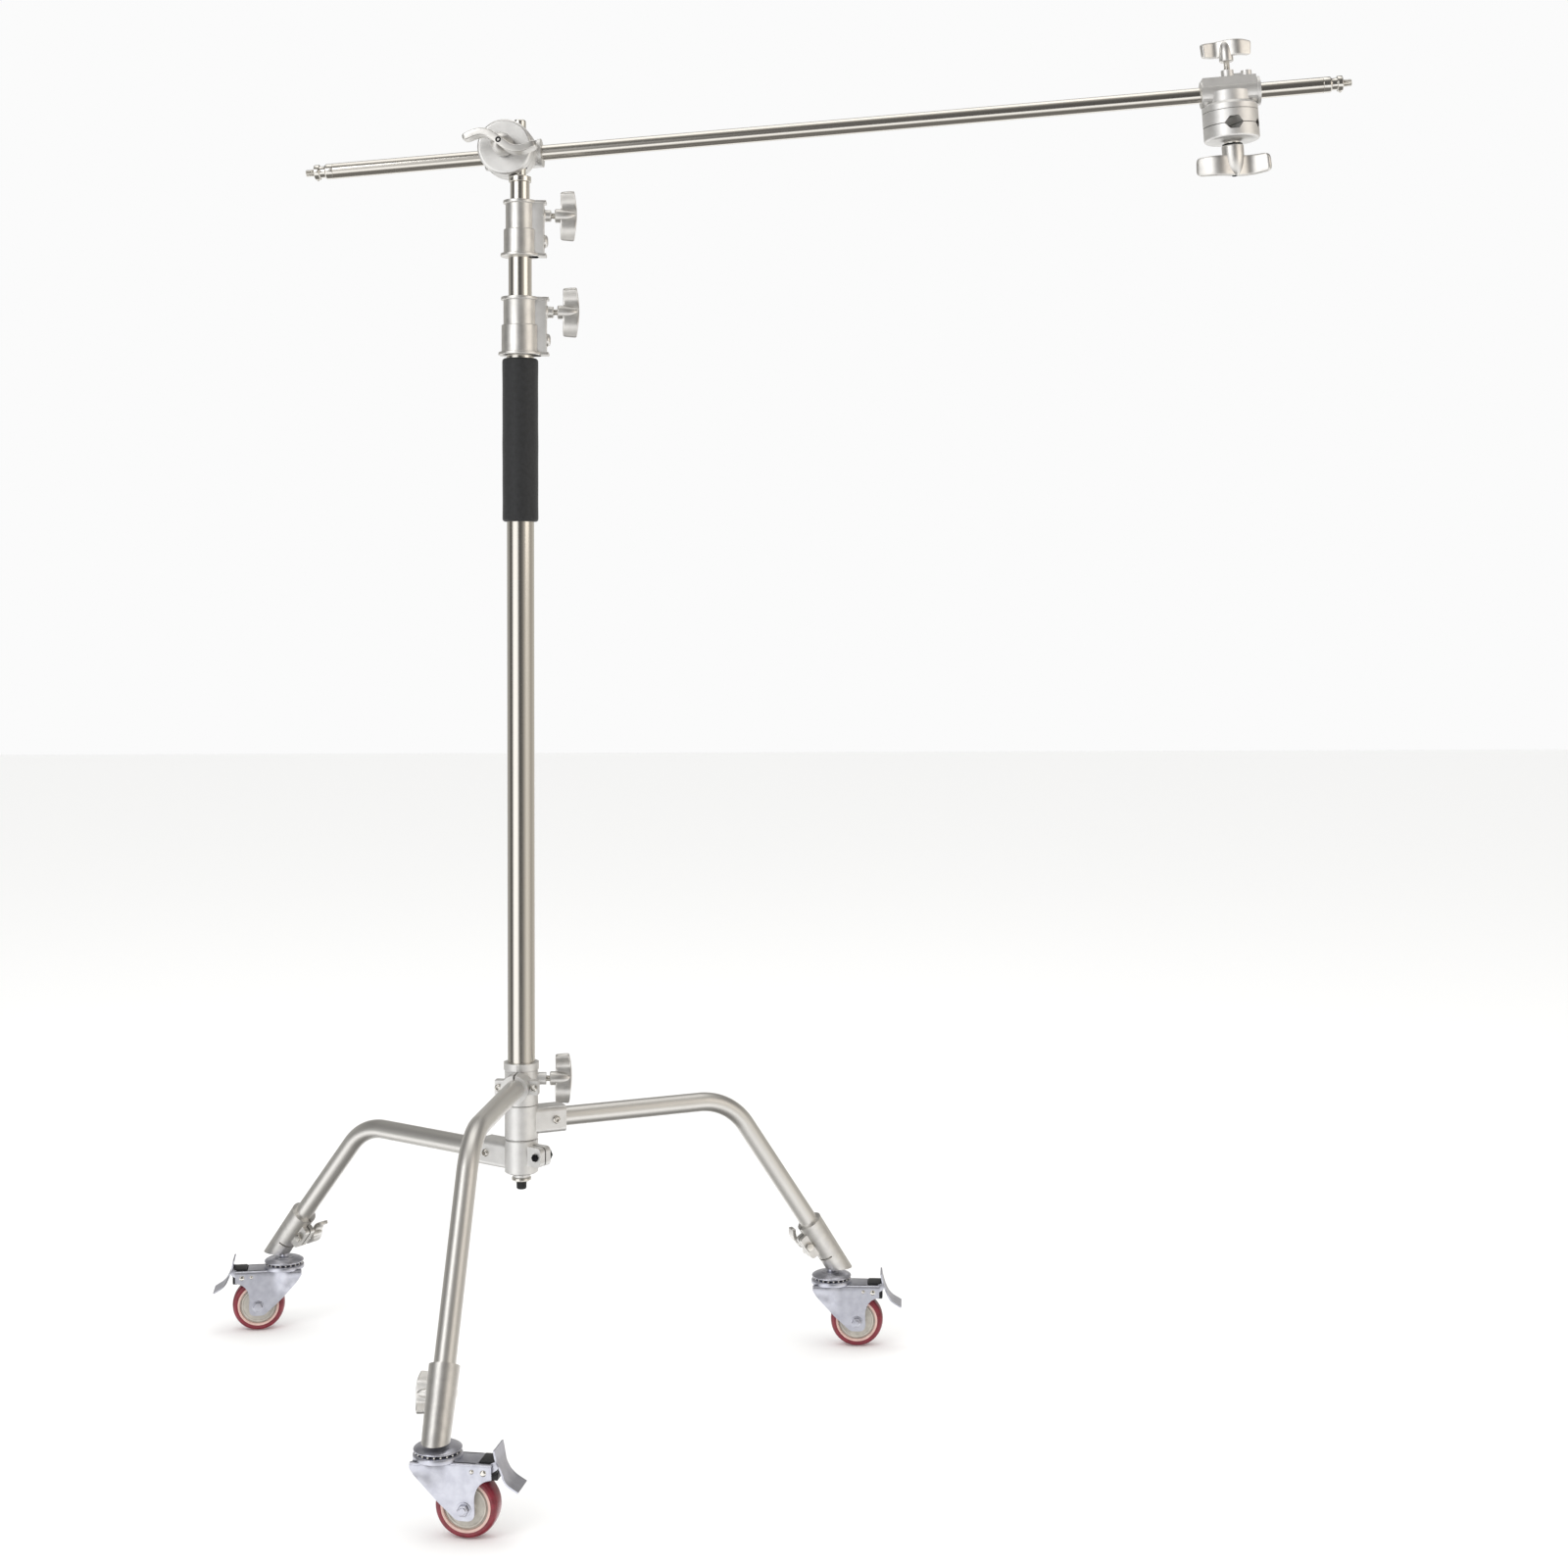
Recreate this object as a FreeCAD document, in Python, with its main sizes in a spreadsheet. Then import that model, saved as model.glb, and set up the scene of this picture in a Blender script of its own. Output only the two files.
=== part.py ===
import FreeCAD, Part
import math
import os
from types import SimpleNamespace

import Sketcher
from FreeCAD import Matrix, Placement, Rotation, Vector

# A rolling C-stand: a three-legged base on casters, a column with two risers, and a boom arm with two
# grip heads. The origin is on the column's axis at the floor, +Z is up, -Y is the front and the boom
# reaches out towards +X. All sizes are in millimetres.

doc = FreeCAD.newDocument("c_stand")

# --- driving dimensions -------------------------------------------------------------------------------

DIMENSIONS = [
    ("running_gap", 0.06, "radial clearance of a turning or sliding fit"),
    ("tube_wall", 1.5, "wall of every steel tube"),
    ("column_radius", 17.5, "main column tube"),
    ("column_foot", 388, "lower end of the column tube"),
    ("column_top", 1378, "upper end of the column tube, in the lower collar"),
    ("riser2_radius", 15, "second riser tube"),
    ("riser2_foot", 452, "lower end of the second riser"),
    ("riser2_top", 1501, "upper end of the second riser, in the upper collar"),
    ("riser3_radius", 12.5, "third riser tube"),
    ("riser3_foot", 500, "lower end of the third riser"),
    ("riser3_top", 1565, "upper end of the third riser"),
    ("bush_height", 20, "guide bush on the second riser's foot"),
    ("stud_radius", 7.94, "standard lighting stud"),
    ("stud_ring_radius", 14.5, "stop ring under the stud"),
    ("stud_tip", 1645, "top of the stud"),
    ("foam_radius", 23.2, "foam grip"),
    ("foam_low", 1128, "lower end of the foam grip"),
    ("foam_high", 1338, "upper end of the foam grip"),
    ("collar_low", 1342, "lower collar, bottom"),
    ("collar_step", 1381, "lower collar, step between its two barrels"),
    ("collar_high", 1417, "lower collar, top"),
    ("top_collar_low", 1469, "upper collar, bottom"),
    ("top_collar_step", 1504, "upper collar, step"),
    ("top_collar_high", 1541, "upper collar, top"),
    ("flange_height", 4, "collar flanges"),
    ("hub_radius", 21.5, "base hub castings"),
    ("hub_top", 429, "top of the base collar"),
    ("hub_shelf", 385, "floor of the column socket"),
    ("hub_low", 375, "underside of the top hub"),
    ("spindle_radius", 11, "spindle that the leg hubs turn on"),
    ("spindle_foot", 274, "lower end of the spindle"),
    ("right_hub_low", 330, "right leg's hub, bottom"),
    ("left_hub_low", 286, "left leg's hub, bottom"),
    ("leg_radius", 12.5, "leg tube"),
    ("leg_bend", 80, "bend radius of the leg's centre line"),
    ("front_leg_run", 402, "height of the front leg's level run"),
    ("right_leg_run", 353, "height of the right leg's level run"),
    ("left_leg_run", 307, "height of the left leg's level run"),
    ("front_bend_start", 238, "where the front leg starts to bend"),
    ("side_bend_start", 250, "where the side legs start to bend"),
    ("foot_circle", 447, "radius of the circle through the caster stems"),
    ("ankle", 122, "height where the leg's axis meets the caster stem's axis"),
    ("shoe_radius", 17.5, "caster socket at its mouth"),
    ("shoe_toe_radius", 15.5, "caster socket at its lower end"),
    ("shoe_reach", 62, "caster socket above the ankle, along the leg"),
    ("shoe_low", 105, "height of the caster socket's level underside"),
    ("caster_top", 101, "top of the caster's bearing cup"),
    ("cup_radius", 27, "bearing cups of the caster"),
    ("trail", 35, "wheel axle behind the stem axis"),
    ("wheel_radius", 36, "wheel"),
    ("wheel_width", 24, "wheel tread"),
    ("rim_radius", 28, "wheel rim under the tread"),
    ("fork_width", 38, "outside width of the fork"),
    ("fork_plate", 2.5, "thickness of the fork's plate"),
    ("axle_radius", 4, "wheel axle"),
    ("arm_radius", 10, "boom tube"),
    ("arm_left", 238, "boom tube, from the first head to its left end"),
    ("arm_right", 1050, "boom tube, from the first head to its right end"),
    ("second_head", 930, "distance between the two grip heads"),
    ("head_height", 1608, "height of the first head's screw axis"),
    ("disc_radius", 35.5, "grip discs"),
    ("mount_disc_back", 14, "back of the mount disc, from the arm's axis"),
    ("jaw_back", 25.3, "back of the inner jaw"),
    ("jaw_split", 43.5, "middle of the gap between the jaws"),
    ("jaw_front", 62, "front of the outer jaw"),
    ("jaw_gap", 1, "gap between the jaws"),
    ("jaw_hole_offset", 17, "big jaw hole, from the screw's axis"),
    ("jaw_hole_depth", 8.1, "half height of the big jaw hole"),
    ("small_hole_offset", 20, "small jaw hole, from the screw's axis"),
    ("rod_radius", 5, "clamping screw of a grip head"),
    ("screw_radius", 4, "thread of a wing knob"),
    ("touch_gap", 0.05, "air between two fixed pieces that touch"),
    ("base_knob_height", 407, "screw of the base's knob"),
    ("lower_knob_height", 1398, "screw of the lower collar's knob"),
    ("upper_knob_height", 1522, "screw of the upper collar's knob"),
    ("dome_radius", 8.5, "domed screw of a collar"),
    ("boss_face", 32, "face of the base's knob boss, from the column's axis"),
    ("ear_face", 33, "face of the front clamp's ears, from the column's axis"),
    ("ear_screw_side", 23, "screw of an ear, from the front leg's axis"),
    ("socket_width", 32, "square socket of a leg hub"),
    ("lock_width", 20, "locking lug of the lower hub"),
    ("lug_width", 16, "lug of a caster socket"),
    ("lug_screw", 21, "screw of the lug, from the leg's axis"),
    ("pedal_ears", 28, "outside width of the brake pedal's ears"),
    ("handle_stem", 14, "stem of a grip head's handle"),
    ("end_neck", 7.6, "neck of a boom end fitting"),
    ("end_flange", 9.9, "flange of a boom end fitting"),
]

sheet = doc.addObject("Spreadsheet::Sheet", "sizes")
for row, (alias, value, meaning) in enumerate(DIMENSIONS, start=1):
    sheet.set(f"A{row}", meaning)
    sheet.set(f"B{row}", str(value))
    sheet.setAlias(f"B{row}", alias)
doc.recompute()


class Size:
    """A length that carries its value and the sheet expression that gives it."""

    def __init__(self, value, text):
        self.value = value
        self.text = text

    def __add__(self, other):
        other = as_size(other)
        return Size(self.value + other.value, f"({self.text} + {other.text})")

    def __sub__(self, other):
        other = as_size(other)
        return Size(self.value - other.value, f"({self.text} - {other.text})")

    def __mul__(self, factor):
        return Size(self.value * factor, f"({self.text} * {factor})")

    __rmul__ = __mul__

    def __truediv__(self, factor):
        return Size(self.value / factor, f"({self.text} / {factor})")

    def __neg__(self):
        return Size(-self.value, f"(0 - {self.text})")

    def __float__(self):
        return float(self.value)


def as_size(length):
    """Wraps a plain number, so that both kinds can be bound alike."""
    return length if isinstance(length, Size) else Size(float(length), repr(float(length)))


S = SimpleNamespace(**{a: Size(sheet.get(a), f"sizes.{a}") for a, _, _ in DIMENSIONS})

# Directions of the legs and trailing directions of the casters, in degrees about +Z from +X.
LEG_TURN = {"front": -98, "right": 22, "left": 142}
TRAIL_TURN = {"front": -12, "right": -6, "left": 186}
# Side of the leg that its clamping knob is on: 1 is counter-clockwise seen from above.
KNOB_SIDE = {"front": -1, "right": 1, "left": -1}
HEAD_TURN = -6  # boom direction about +Z
BOOM_RISE = 4.3  # boom's rise towards its right end
JAW_TURN = 151.4  # second head's jaws about their screw
HANDLE_TURN = -12  # first head's handle about its screw

X_AXIS = Vector(1, 0, 0)
Y_AXIS = Vector(0, 1, 0)
Z_AXIS = Vector(0, 0, 1)
parts = []  # the finished sub-parts, in order


# --- small tools --------------------------------------------------------------------------------------


def spot(x=0, y=0, z=0, toward=Z_AXIS):
    """Placement at a point, with local +Z turned to the given direction."""
    return Placement(Vector(float(x), float(y), float(z)), Rotation(Z_AXIS, toward))


def turned_by(axis, degrees):
    """Placement that only turns."""
    return Placement(Vector(), Rotation(axis, degrees))


def frame(origin, x_dir, z_dir):
    """Placement from an origin and the directions of local +X and +Z."""
    y_dir = z_dir.cross(x_dir)
    matrix = Matrix(
        x_dir.x, y_dir.x, z_dir.x, origin.x,
        x_dir.y, y_dir.y, z_dir.y, origin.y,
        x_dir.z, y_dir.z, z_dir.z, origin.z,
        0, 0, 0, 1,
    )
    return Placement(matrix)


def primitive(kind, name, lengths, place):
    """A Part primitive whose lengths are bound to the sheet."""
    piece = doc.addObject(kind, name)
    for prop, length in lengths.items():
        length = as_size(length)
        setattr(piece, prop, length.value)
        piece.setExpression(prop, length.text)
    piece.Placement = place
    return piece


def cylinder(name, radius, length, place=Placement()):
    return primitive("Part::Cylinder", name, {"Radius": radius, "Height": length}, place)


def cone(name, low, high, length, place=Placement()):
    return primitive("Part::Cone", name, {"Radius1": low, "Radius2": high, "Height": length}, place)


def hexagon(name, radius, length, place=Placement()):
    piece = primitive("Part::Prism", name, {"Circumradius": radius, "Height": length}, place)
    piece.Polygon = 6
    return piece


def block(name, x, y, z, size):
    """A box from its lowest corner and its three sides."""
    sides = dict(zip(("Length", "Width", "Height"), size))
    return primitive("Part::Box", name, sides, spot(x, y, z))


def fuse(name, pieces):
    whole = doc.addObject("Part::MultiFuse", name)
    whole.Shapes = pieces
    whole.Refine = True
    return whole


def cut(name, base, tools):
    """The base less every tool."""
    result = doc.addObject("Part::Cut", name)
    result.Base = base
    result.Tool = tools[0] if len(tools) == 1 else fuse(f"{name}_tools", tools)
    result.Refine = True
    return result


def group(name, pieces):
    """Separate solids that share one node, such as a set of fasteners."""
    whole = doc.addObject("Part::Compound", name)
    whole.Links = pieces
    return whole


def keep(piece, label, place=None):
    """Registers a finished sub-part under its label, and places it."""
    piece.Label = label
    if place is not None:
        piece.Placement = place
    parts.append(piece)
    return piece


def origin_plane(body, role):
    return next(f for f in body.Origin.OriginFeatures if f.Role == role)


def new_sketch(body, role, name):
    sketch = body.newObject("Sketcher::SketchObject", name)
    sketch.AttachmentSupport = [(origin_plane(body, role), "")]
    sketch.MapMode = "FlatFace"
    return sketch


def pin_point(sketch, index, which, x, y):
    """Fixes a point of the sketch by its two coordinates, bound to the sheet."""
    for kind, length, on_axis in (("DistanceX", as_size(x), -2), ("DistanceY", as_size(y), -1)):
        if abs(length.value) < 1e-9:
            sketch.addConstraint(Sketcher.Constraint("PointOnObject", index, which, on_axis))
            continue
        number = sketch.addConstraint(Sketcher.Constraint(kind, -1, 1, index, which, length.value))
        sketch.setExpression(f"Constraints[{number}]", length.text)


def outline(body, role, points, name):
    """A closed polygon whose corners are bound to the sheet."""
    sketch = new_sketch(body, role, name)
    corners = [Vector(float(x), float(y), 0) for x, y in points]
    for start, end in zip(corners, corners[1:] + corners[:1]):
        sketch.addGeometry(Part.LineSegment(start, end))
    count = len(points)
    for i in range(count):
        sketch.addConstraint(Sketcher.Constraint("Coincident", i, 2, (i + 1) % count, 1))
    for i, (x, y) in enumerate(points):
        pin_point(sketch, i, 1, x, y)
    return sketch


def turned(name, points):
    """A body of revolution about its local Z, from an outline of (radius, height) points."""
    body = doc.addObject("PartDesign::Body", name)
    sketch = outline(body, "XZ_Plane", points, f"{name}_outline")
    spin = body.newObject("PartDesign::Revolution", f"{name}_turned")
    spin.Profile = sketch
    spin.ReferenceAxis = (sketch, ["V_Axis"])
    spin.Angle = 360
    return body


def plate(name, points, width, role="XZ_Plane"):
    """A plate padded evenly to both sides of its outline's plane."""
    body = doc.addObject("PartDesign::Body", name)
    sketch = outline(body, role, points, f"{name}_outline")
    pad = body.newObject("PartDesign::Pad", f"{name}_pad")
    pad.Profile = sketch
    pad.SideType = "Symmetric"
    width = as_size(width)
    pad.Length = width.value
    pad.setExpression("Length", width.text)
    return body


def round_edges(name, piece, radius, wanted):
    """Rounds the edges of a piece that the test picks, and leaves the piece alone if there are none."""
    doc.recompute()
    picked = [(i, radius, radius) for i, edge in enumerate(piece.Shape.Edges, start=1) if wanted(edge)]
    rounded = doc.addObject("Part::Fillet", name)
    rounded.Base = piece
    rounded.Edges = picked
    return rounded


def is_ring(radius, height, axis=Z_AXIS):
    """Test for a full circle of that radius at that height along the axis."""

    def test(edge):
        curve = edge.Curve
        if not isinstance(curve, Part.Circle) or abs(curve.Radius - float(radius)) > 0.01:
            return False
        return abs(edge.CenterOfMass.dot(axis) - float(height)) < 0.01

    return test


def tube(name, radius, low, high):
    """A steel tube that stands on the local Z axis."""
    inner = radius - S.tube_wall
    return turned(name, [(inner, low), (radius, low), (radius, high), (inner, high)])


# --- wing knobs and handles ---------------------------------------------------------------------------


def wing(name, span, thickness, sagitta, width):
    """The cast wing of a knob: an S-shaped bar along local X, padded evenly to both sides of z = 0."""
    half_span = (span - thickness) / 2
    body = doc.addObject("PartDesign::Body", name)
    sketch = new_sketch(body, "XY_Plane", f"{name}_outline")
    lobe = (half_span * half_span / 4 + sagitta * sagitta) / (2 * sagitta)  # radius of the centre line
    centre = Vector(-half_span / 2, sagitta - lobe, 0)
    inward = -centre / centre.Length  # from the lobe's centre to the origin
    outer, inner = lobe + thickness / 2, lobe - thickness / 2
    start = math.atan2(inward.y, inward.x)
    sweep = math.pi - 2 * start
    for flip in (1, -1):
        turn = 0 if flip == 1 else math.pi
        middle = centre * flip
        for radius in (outer, inner):
            circle = Part.Circle(middle, Z_AXIS, radius)
            sketch.addGeometry(Part.ArcOfCircle(circle, start + turn, start + sweep + turn))
        tip = middle + Vector(math.cos(start + sweep + turn), math.sin(start + sweep + turn), 0) * lobe
        cap = Part.Circle(tip, Z_AXIS, thickness / 2)
        sketch.addGeometry(Part.ArcOfCircle(cap, start + sweep + turn, start + sweep + turn + math.pi))
    pad = body.newObject("PartDesign::Pad", f"{name}_pad")
    pad.Profile = sketch
    pad.SideType = "Symmetric"
    pad.Length = width
    return body


def wing_knob(name, place, gap, screw_in, scale=1.0, screw_radius=S.screw_radius):
    """A T-shaped clamping knob: local +Z points out along its screw, from the face of its boss."""
    stem, wing_width, span = 18 * scale, 21 * scale, 62 * scale
    wing_middle = gap + 7 * scale + wing_width / 2
    top = wing_middle + wing_width / 2
    screw = cylinder(f"{name}_screw", screw_radius, screw_in + gap + 2, spot(z=-screw_in))
    neck = cone(f"{name}_neck", 8.6 * scale, 8 * scale, stem, spot(z=gap))
    nose = cone(f"{name}_nose", 8 * scale, 5.5 * scale, top + 1.5 * scale - gap - stem, spot(z=gap + stem))
    bar = wing(f"{name}_wing", span, 8.5 * scale, 5 * scale, wing_width)
    bar.Placement = spot(z=wing_middle)
    return keep(fuse(f"{name}_whole", [screw, neck, nose, bar]), name, place)


# --- column -------------------------------------------------------------------------------------------


def make_column():
    keep(tube("column", S.column_radius, S.column_foot, S.column_top), "column_tube")
    inner = S.column_radius + S.touch_gap
    points = [
        (inner, S.foam_low),
        (S.foam_radius - 1.5, S.foam_low),
        (S.foam_radius, S.foam_low + 1.5),
        (S.foam_radius, S.foam_high - 1.5),
        (S.foam_radius - 1.5, S.foam_high),
        (inner, S.foam_high),
    ]
    keep(turned("foam", points), "foam_grip")


def make_collar(name, low, step, high, barrel, tube_radius, tube_top, riser_radius, knob_z):
    """A stepped collar: it grips the top of one tube, guides the next one and carries its knob."""
    lower_barrel, lower_flange, upper_flange = barrel + 2.5, barrel + 6.5, barrel + 3
    lug_face = barrel + 12.5
    body_points = [
        (0, low),
        (lower_flange, low),
        (lower_flange, low + S.flange_height),
        (lower_barrel, low + S.flange_height),
        (lower_barrel, step),
        (barrel, step),
        (barrel, high - S.flange_height),
        (upper_flange, high - S.flange_height),
        (upper_flange, high),
        (0, high),
    ]
    casting = turned(f"{name}_barrel", body_points)
    half = 9.0
    lug = block(f"{name}_lug", 12, -half, low, (lug_face - 12, 2 * half, high - low))
    feet = [
        block(f"{name}_foot", 12, -half - 1, low, (lug_face - 9, 2 * half + 2, S.flange_height)),
        block(
            f"{name}_cap", 12, -half - 1, high - S.flange_height,
            (lug_face - 9, 2 * half + 2, S.flange_height),
        ),
    ]
    boss = cylinder(f"{name}_boss", 7.5, 9, spot(lug_face, 0, knob_z, X_AXIS))
    solid = fuse(f"{name}_solid", [casting, lug, *feet, boss])
    knob_spot = spot(0, 0, knob_z, X_AXIS)
    tools = [
        cylinder(f"{name}_socket", tube_radius, tube_top - low + 1, spot(z=low - 1)),
        cylinder(f"{name}_guide", riser_radius + S.running_gap, high - tube_top + 2, spot(z=tube_top - 1)),
        cylinder(f"{name}_thread", S.screw_radius + S.touch_gap, lug_face + 12, knob_spot),
    ]
    keep(cut(f"{name}_casting", solid, tools), name)
    screw_z = low + 20
    seat = lug_face + S.touch_gap
    head = cylinder(f"{name}_dome_base", S.dome_radius, 2.4, spot(seat, 0, screw_z, X_AXIS))
    dome = cone(f"{name}_dome", S.dome_radius, S.dome_radius - 3.5, 2.6, spot(seat + 2.4, 0, screw_z, X_AXIS))
    keep(fuse(f"{name}_dome_whole", [head, dome]), f"{name}_screw")
    boss_face = lug_face + 9
    reach = float(boss_face) - float(riser_radius) - 0.4
    place = frame(Vector(float(boss_face), 0, float(knob_z)), Z_AXIS, X_AXIS)
    wing_knob(f"{name}_knob", place, gap=5, screw_in=reach)


def make_risers():
    keep(tube("riser2", S.riser2_radius, S.riser2_foot, S.riser2_top), "riser2_tube")
    bore = S.column_radius - S.tube_wall
    bush = [
        (S.riser2_radius, S.riser2_foot),
        (bore - S.running_gap, S.riser2_foot),
        (bore - S.running_gap, S.riser2_foot + S.bush_height),
        (S.riser2_radius, S.riser2_foot + S.bush_height),
    ]
    keep(turned("bush", bush), "riser2_bush")
    keep(tube("riser3", S.riser3_radius, S.riser3_foot, S.riser3_top), "riser3_tube")
    inner = S.riser3_radius - S.tube_wall
    points = [
        (0, S.riser3_top - 30),
        (inner, S.riser3_top - 30),
        (inner, S.riser3_top),
        (S.stud_ring_radius, S.riser3_top),
        (S.stud_ring_radius, S.riser3_top + 7),
        (S.stud_radius, S.riser3_top + 7),
        (S.stud_radius, S.stud_tip - 1.5),
        (S.stud_radius - 1.5, S.stud_tip),
        (0, S.stud_tip),
    ]
    keep(turned("stud", points), "top_stud")


# --- base ---------------------------------------------------------------------------------------------


def radial(degrees):
    """Unit vector in the floor's plane."""
    return Vector(math.cos(math.radians(degrees)), math.sin(math.radians(degrees)), 0)


def make_base_hub():
    """Top hub: socket and knob boss for the column, spindle for the leg hubs, clamp of the front leg."""
    points = [
        (0, S.spindle_foot),
        (7.5, S.spindle_foot),
        (7.5, S.left_hub_low - 6),
        (S.spindle_radius, S.left_hub_low - 6),
        (S.spindle_radius, S.hub_low),
        (S.hub_radius, S.hub_low),
        (S.hub_radius, S.hub_top - 10),
        (S.hub_radius + 1.2, S.hub_top - 9),
        (S.hub_radius + 1.2, S.hub_top),
        (0, S.hub_top),
    ]
    core = turned("base_core", points)
    out = radial(LEG_TURN["front"])
    side = Z_AXIS.cross(out)
    run = S.front_leg_run
    clamp = cylinder("clamp", 18, 46, spot(0, 0, run, out))
    ears = block("clamp_ears", 20, -28, run - 9, (S.ear_face - 20, 56, 18))
    ears.Placement = turned_by(Z_AXIS, LEG_TURN["front"]).multiply(ears.Placement)
    boss = cylinder("base_boss", 8, S.boss_face, spot(0, 0, S.base_knob_height, X_AXIS))
    solid = fuse("base_solid", [core, clamp, ears, boss])
    start = out * 19
    slit = block("clamp_slit", 22, -1.3, run, (30, 2.6, 30))
    slit.Placement = turned_by(Z_AXIS, LEG_TURN["front"]).multiply(slit.Placement)
    depth = S.hub_top - S.hub_shelf + 1
    tools = [
        cylinder("base_socket", S.column_radius + S.running_gap, depth, spot(z=S.hub_shelf)),
        cylinder("base_thread", S.screw_radius + S.touch_gap, 40, spot(0, 0, S.base_knob_height, X_AXIS)),
        cylinder("clamp_bore", S.leg_radius, 40, spot(start.x, start.y, run, out)),
        slit,
    ]
    keep(cut("base_casting", solid, tools), "base_hub")
    screws = []
    for sign in (-1, 1):
        foot = out * float(S.ear_face + S.touch_gap) + side * (float(S.ear_screw_side) * sign)
        place = spot(foot.x, foot.y, run, out)
        screws.append(fuse(f"clamp_screw{sign + 1}", [
            cylinder(f"clamp_head{sign + 1}", 4.6, 3.5, place),
            hexagon(f"clamp_hex{sign + 1}", 3, 5, place),
        ]))
    place = frame(Vector(float(S.boss_face), 0, float(S.base_knob_height)), Z_AXIS, X_AXIS)
    reach = float(S.boss_face - S.column_radius) - 0.4
    wing_knob("base_knob", place, gap=5, screw_in=reach)
    plug = [
        (0, S.spindle_foot - 10),
        (5.6, S.spindle_foot - 10),
        (6.6, S.spindle_foot - 9),
        (6.6, S.spindle_foot),
        (0, S.spindle_foot),
    ]
    keep(turned("plug", plug), "spindle_plug")
    ring = turned("nut", [
        (7.5, S.spindle_foot + 1),
        (12.5, S.spindle_foot + 1),
        (12.5, S.left_hub_low - 6.1),
        (7.5, S.left_hub_low - 6.1),
    ])
    keep(ring, "spindle_nut")
    return screws


def make_leg_hub(name, low, high, run, reach):
    """A hub that turns on the spindle, with the square socket of its leg along local +X."""
    bevel = 1.2
    ring = turned(f"{name}_ring", [
        (0, low),
        (S.hub_radius - bevel, low),
        (S.hub_radius, low + bevel),
        (S.hub_radius, high - bevel),
        (S.hub_radius - bevel, high),
        (0, high),
    ])
    arm = block(f"{name}_arm", 8, -S.socket_width / 2, run - 17, (reach - 8, S.socket_width, 34))
    arm = round_edges(f"{name}_arm_round", arm, 6,
                      lambda edge: abs(edge.tangentAt(edge.FirstParameter).x) > 0.9)
    solid = fuse(f"{name}_solid", [ring, arm])
    tools = [
        cylinder(f"{name}_bore", S.spindle_radius + S.running_gap, high - low + 2, spot(z=low - 1)),
        cylinder(f"{name}_socket", S.leg_radius, reach, spot(19, 0, run, X_AXIS)),
    ]
    return solid, tools


def leg_path(run, bend_start):
    """The leg's bend: centre, the point where its slope starts, and the slope's direction down."""
    centre = Vector(float(bend_start), float(run) - float(S.leg_bend), 0)
    foot = Vector(float(S.foot_circle), float(S.ankle), 0)
    away = foot - centre
    lead = math.atan2(away.y, away.x) + math.acos(float(S.leg_bend) / away.Length)
    slope_start = centre + Vector(math.cos(lead), math.sin(lead), 0) * float(S.leg_bend)
    return centre, lead, slope_start, (foot - slope_start).normalize()


def make_leg(name, run, bend_start):
    """A bent leg tube in the local XZ plane, swept along a level run, a bend and a slope."""
    start = 19.5
    body = doc.addObject("PartDesign::Body", name)
    path = new_sketch(body, "XZ_Plane", f"{name}_path")
    centre, lead, slope_start, _ = leg_path(run, bend_start)
    bend_point = Vector(float(bend_start), float(run), 0)
    foot = Vector(float(S.foot_circle), float(S.ankle), 0)
    path.addGeometry(Part.LineSegment(Vector(start, float(run), 0), bend_point))
    path.addGeometry(Part.ArcOfCircle(Part.Circle(centre, Z_AXIS, float(S.leg_bend)), lead, math.pi / 2))
    path.addGeometry(Part.LineSegment(slope_start, foot))
    path.addConstraint(Sketcher.Constraint("Tangent", 0, 2, 1, 2))
    path.addConstraint(Sketcher.Constraint("Tangent", 1, 1, 2, 1))
    number = path.addConstraint(Sketcher.Constraint("Radius", 1, float(S.leg_bend)))
    path.setExpression(f"Constraints[{number}]", S.leg_bend.text)
    pin_point(path, 0, 1, start, run)
    pin_point(path, 0, 2, bend_start, run)
    pin_point(path, 2, 2, S.foot_circle, S.ankle)
    ring = new_sketch(body, "YZ_Plane", f"{name}_section")
    ring.AttachmentOffset = Placement(Vector(0, 0, start), Rotation())
    for radius in (S.leg_radius, S.leg_radius - S.tube_wall):
        index = ring.addGeometry(Part.Circle(Vector(0, float(run), 0), Z_AXIS, float(radius)))
        number = ring.addConstraint(Sketcher.Constraint("Radius", index, float(radius)))
        ring.setExpression(f"Constraints[{number}]", radius.text)
        pin_point(ring, index, 3, 0, run)
    pipe = body.newObject("PartDesign::AdditivePipe", f"{name}_pipe")
    pipe.Profile = ring
    pipe.Spine = (path, ["Edge1", "Edge2", "Edge3"])
    return body


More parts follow.
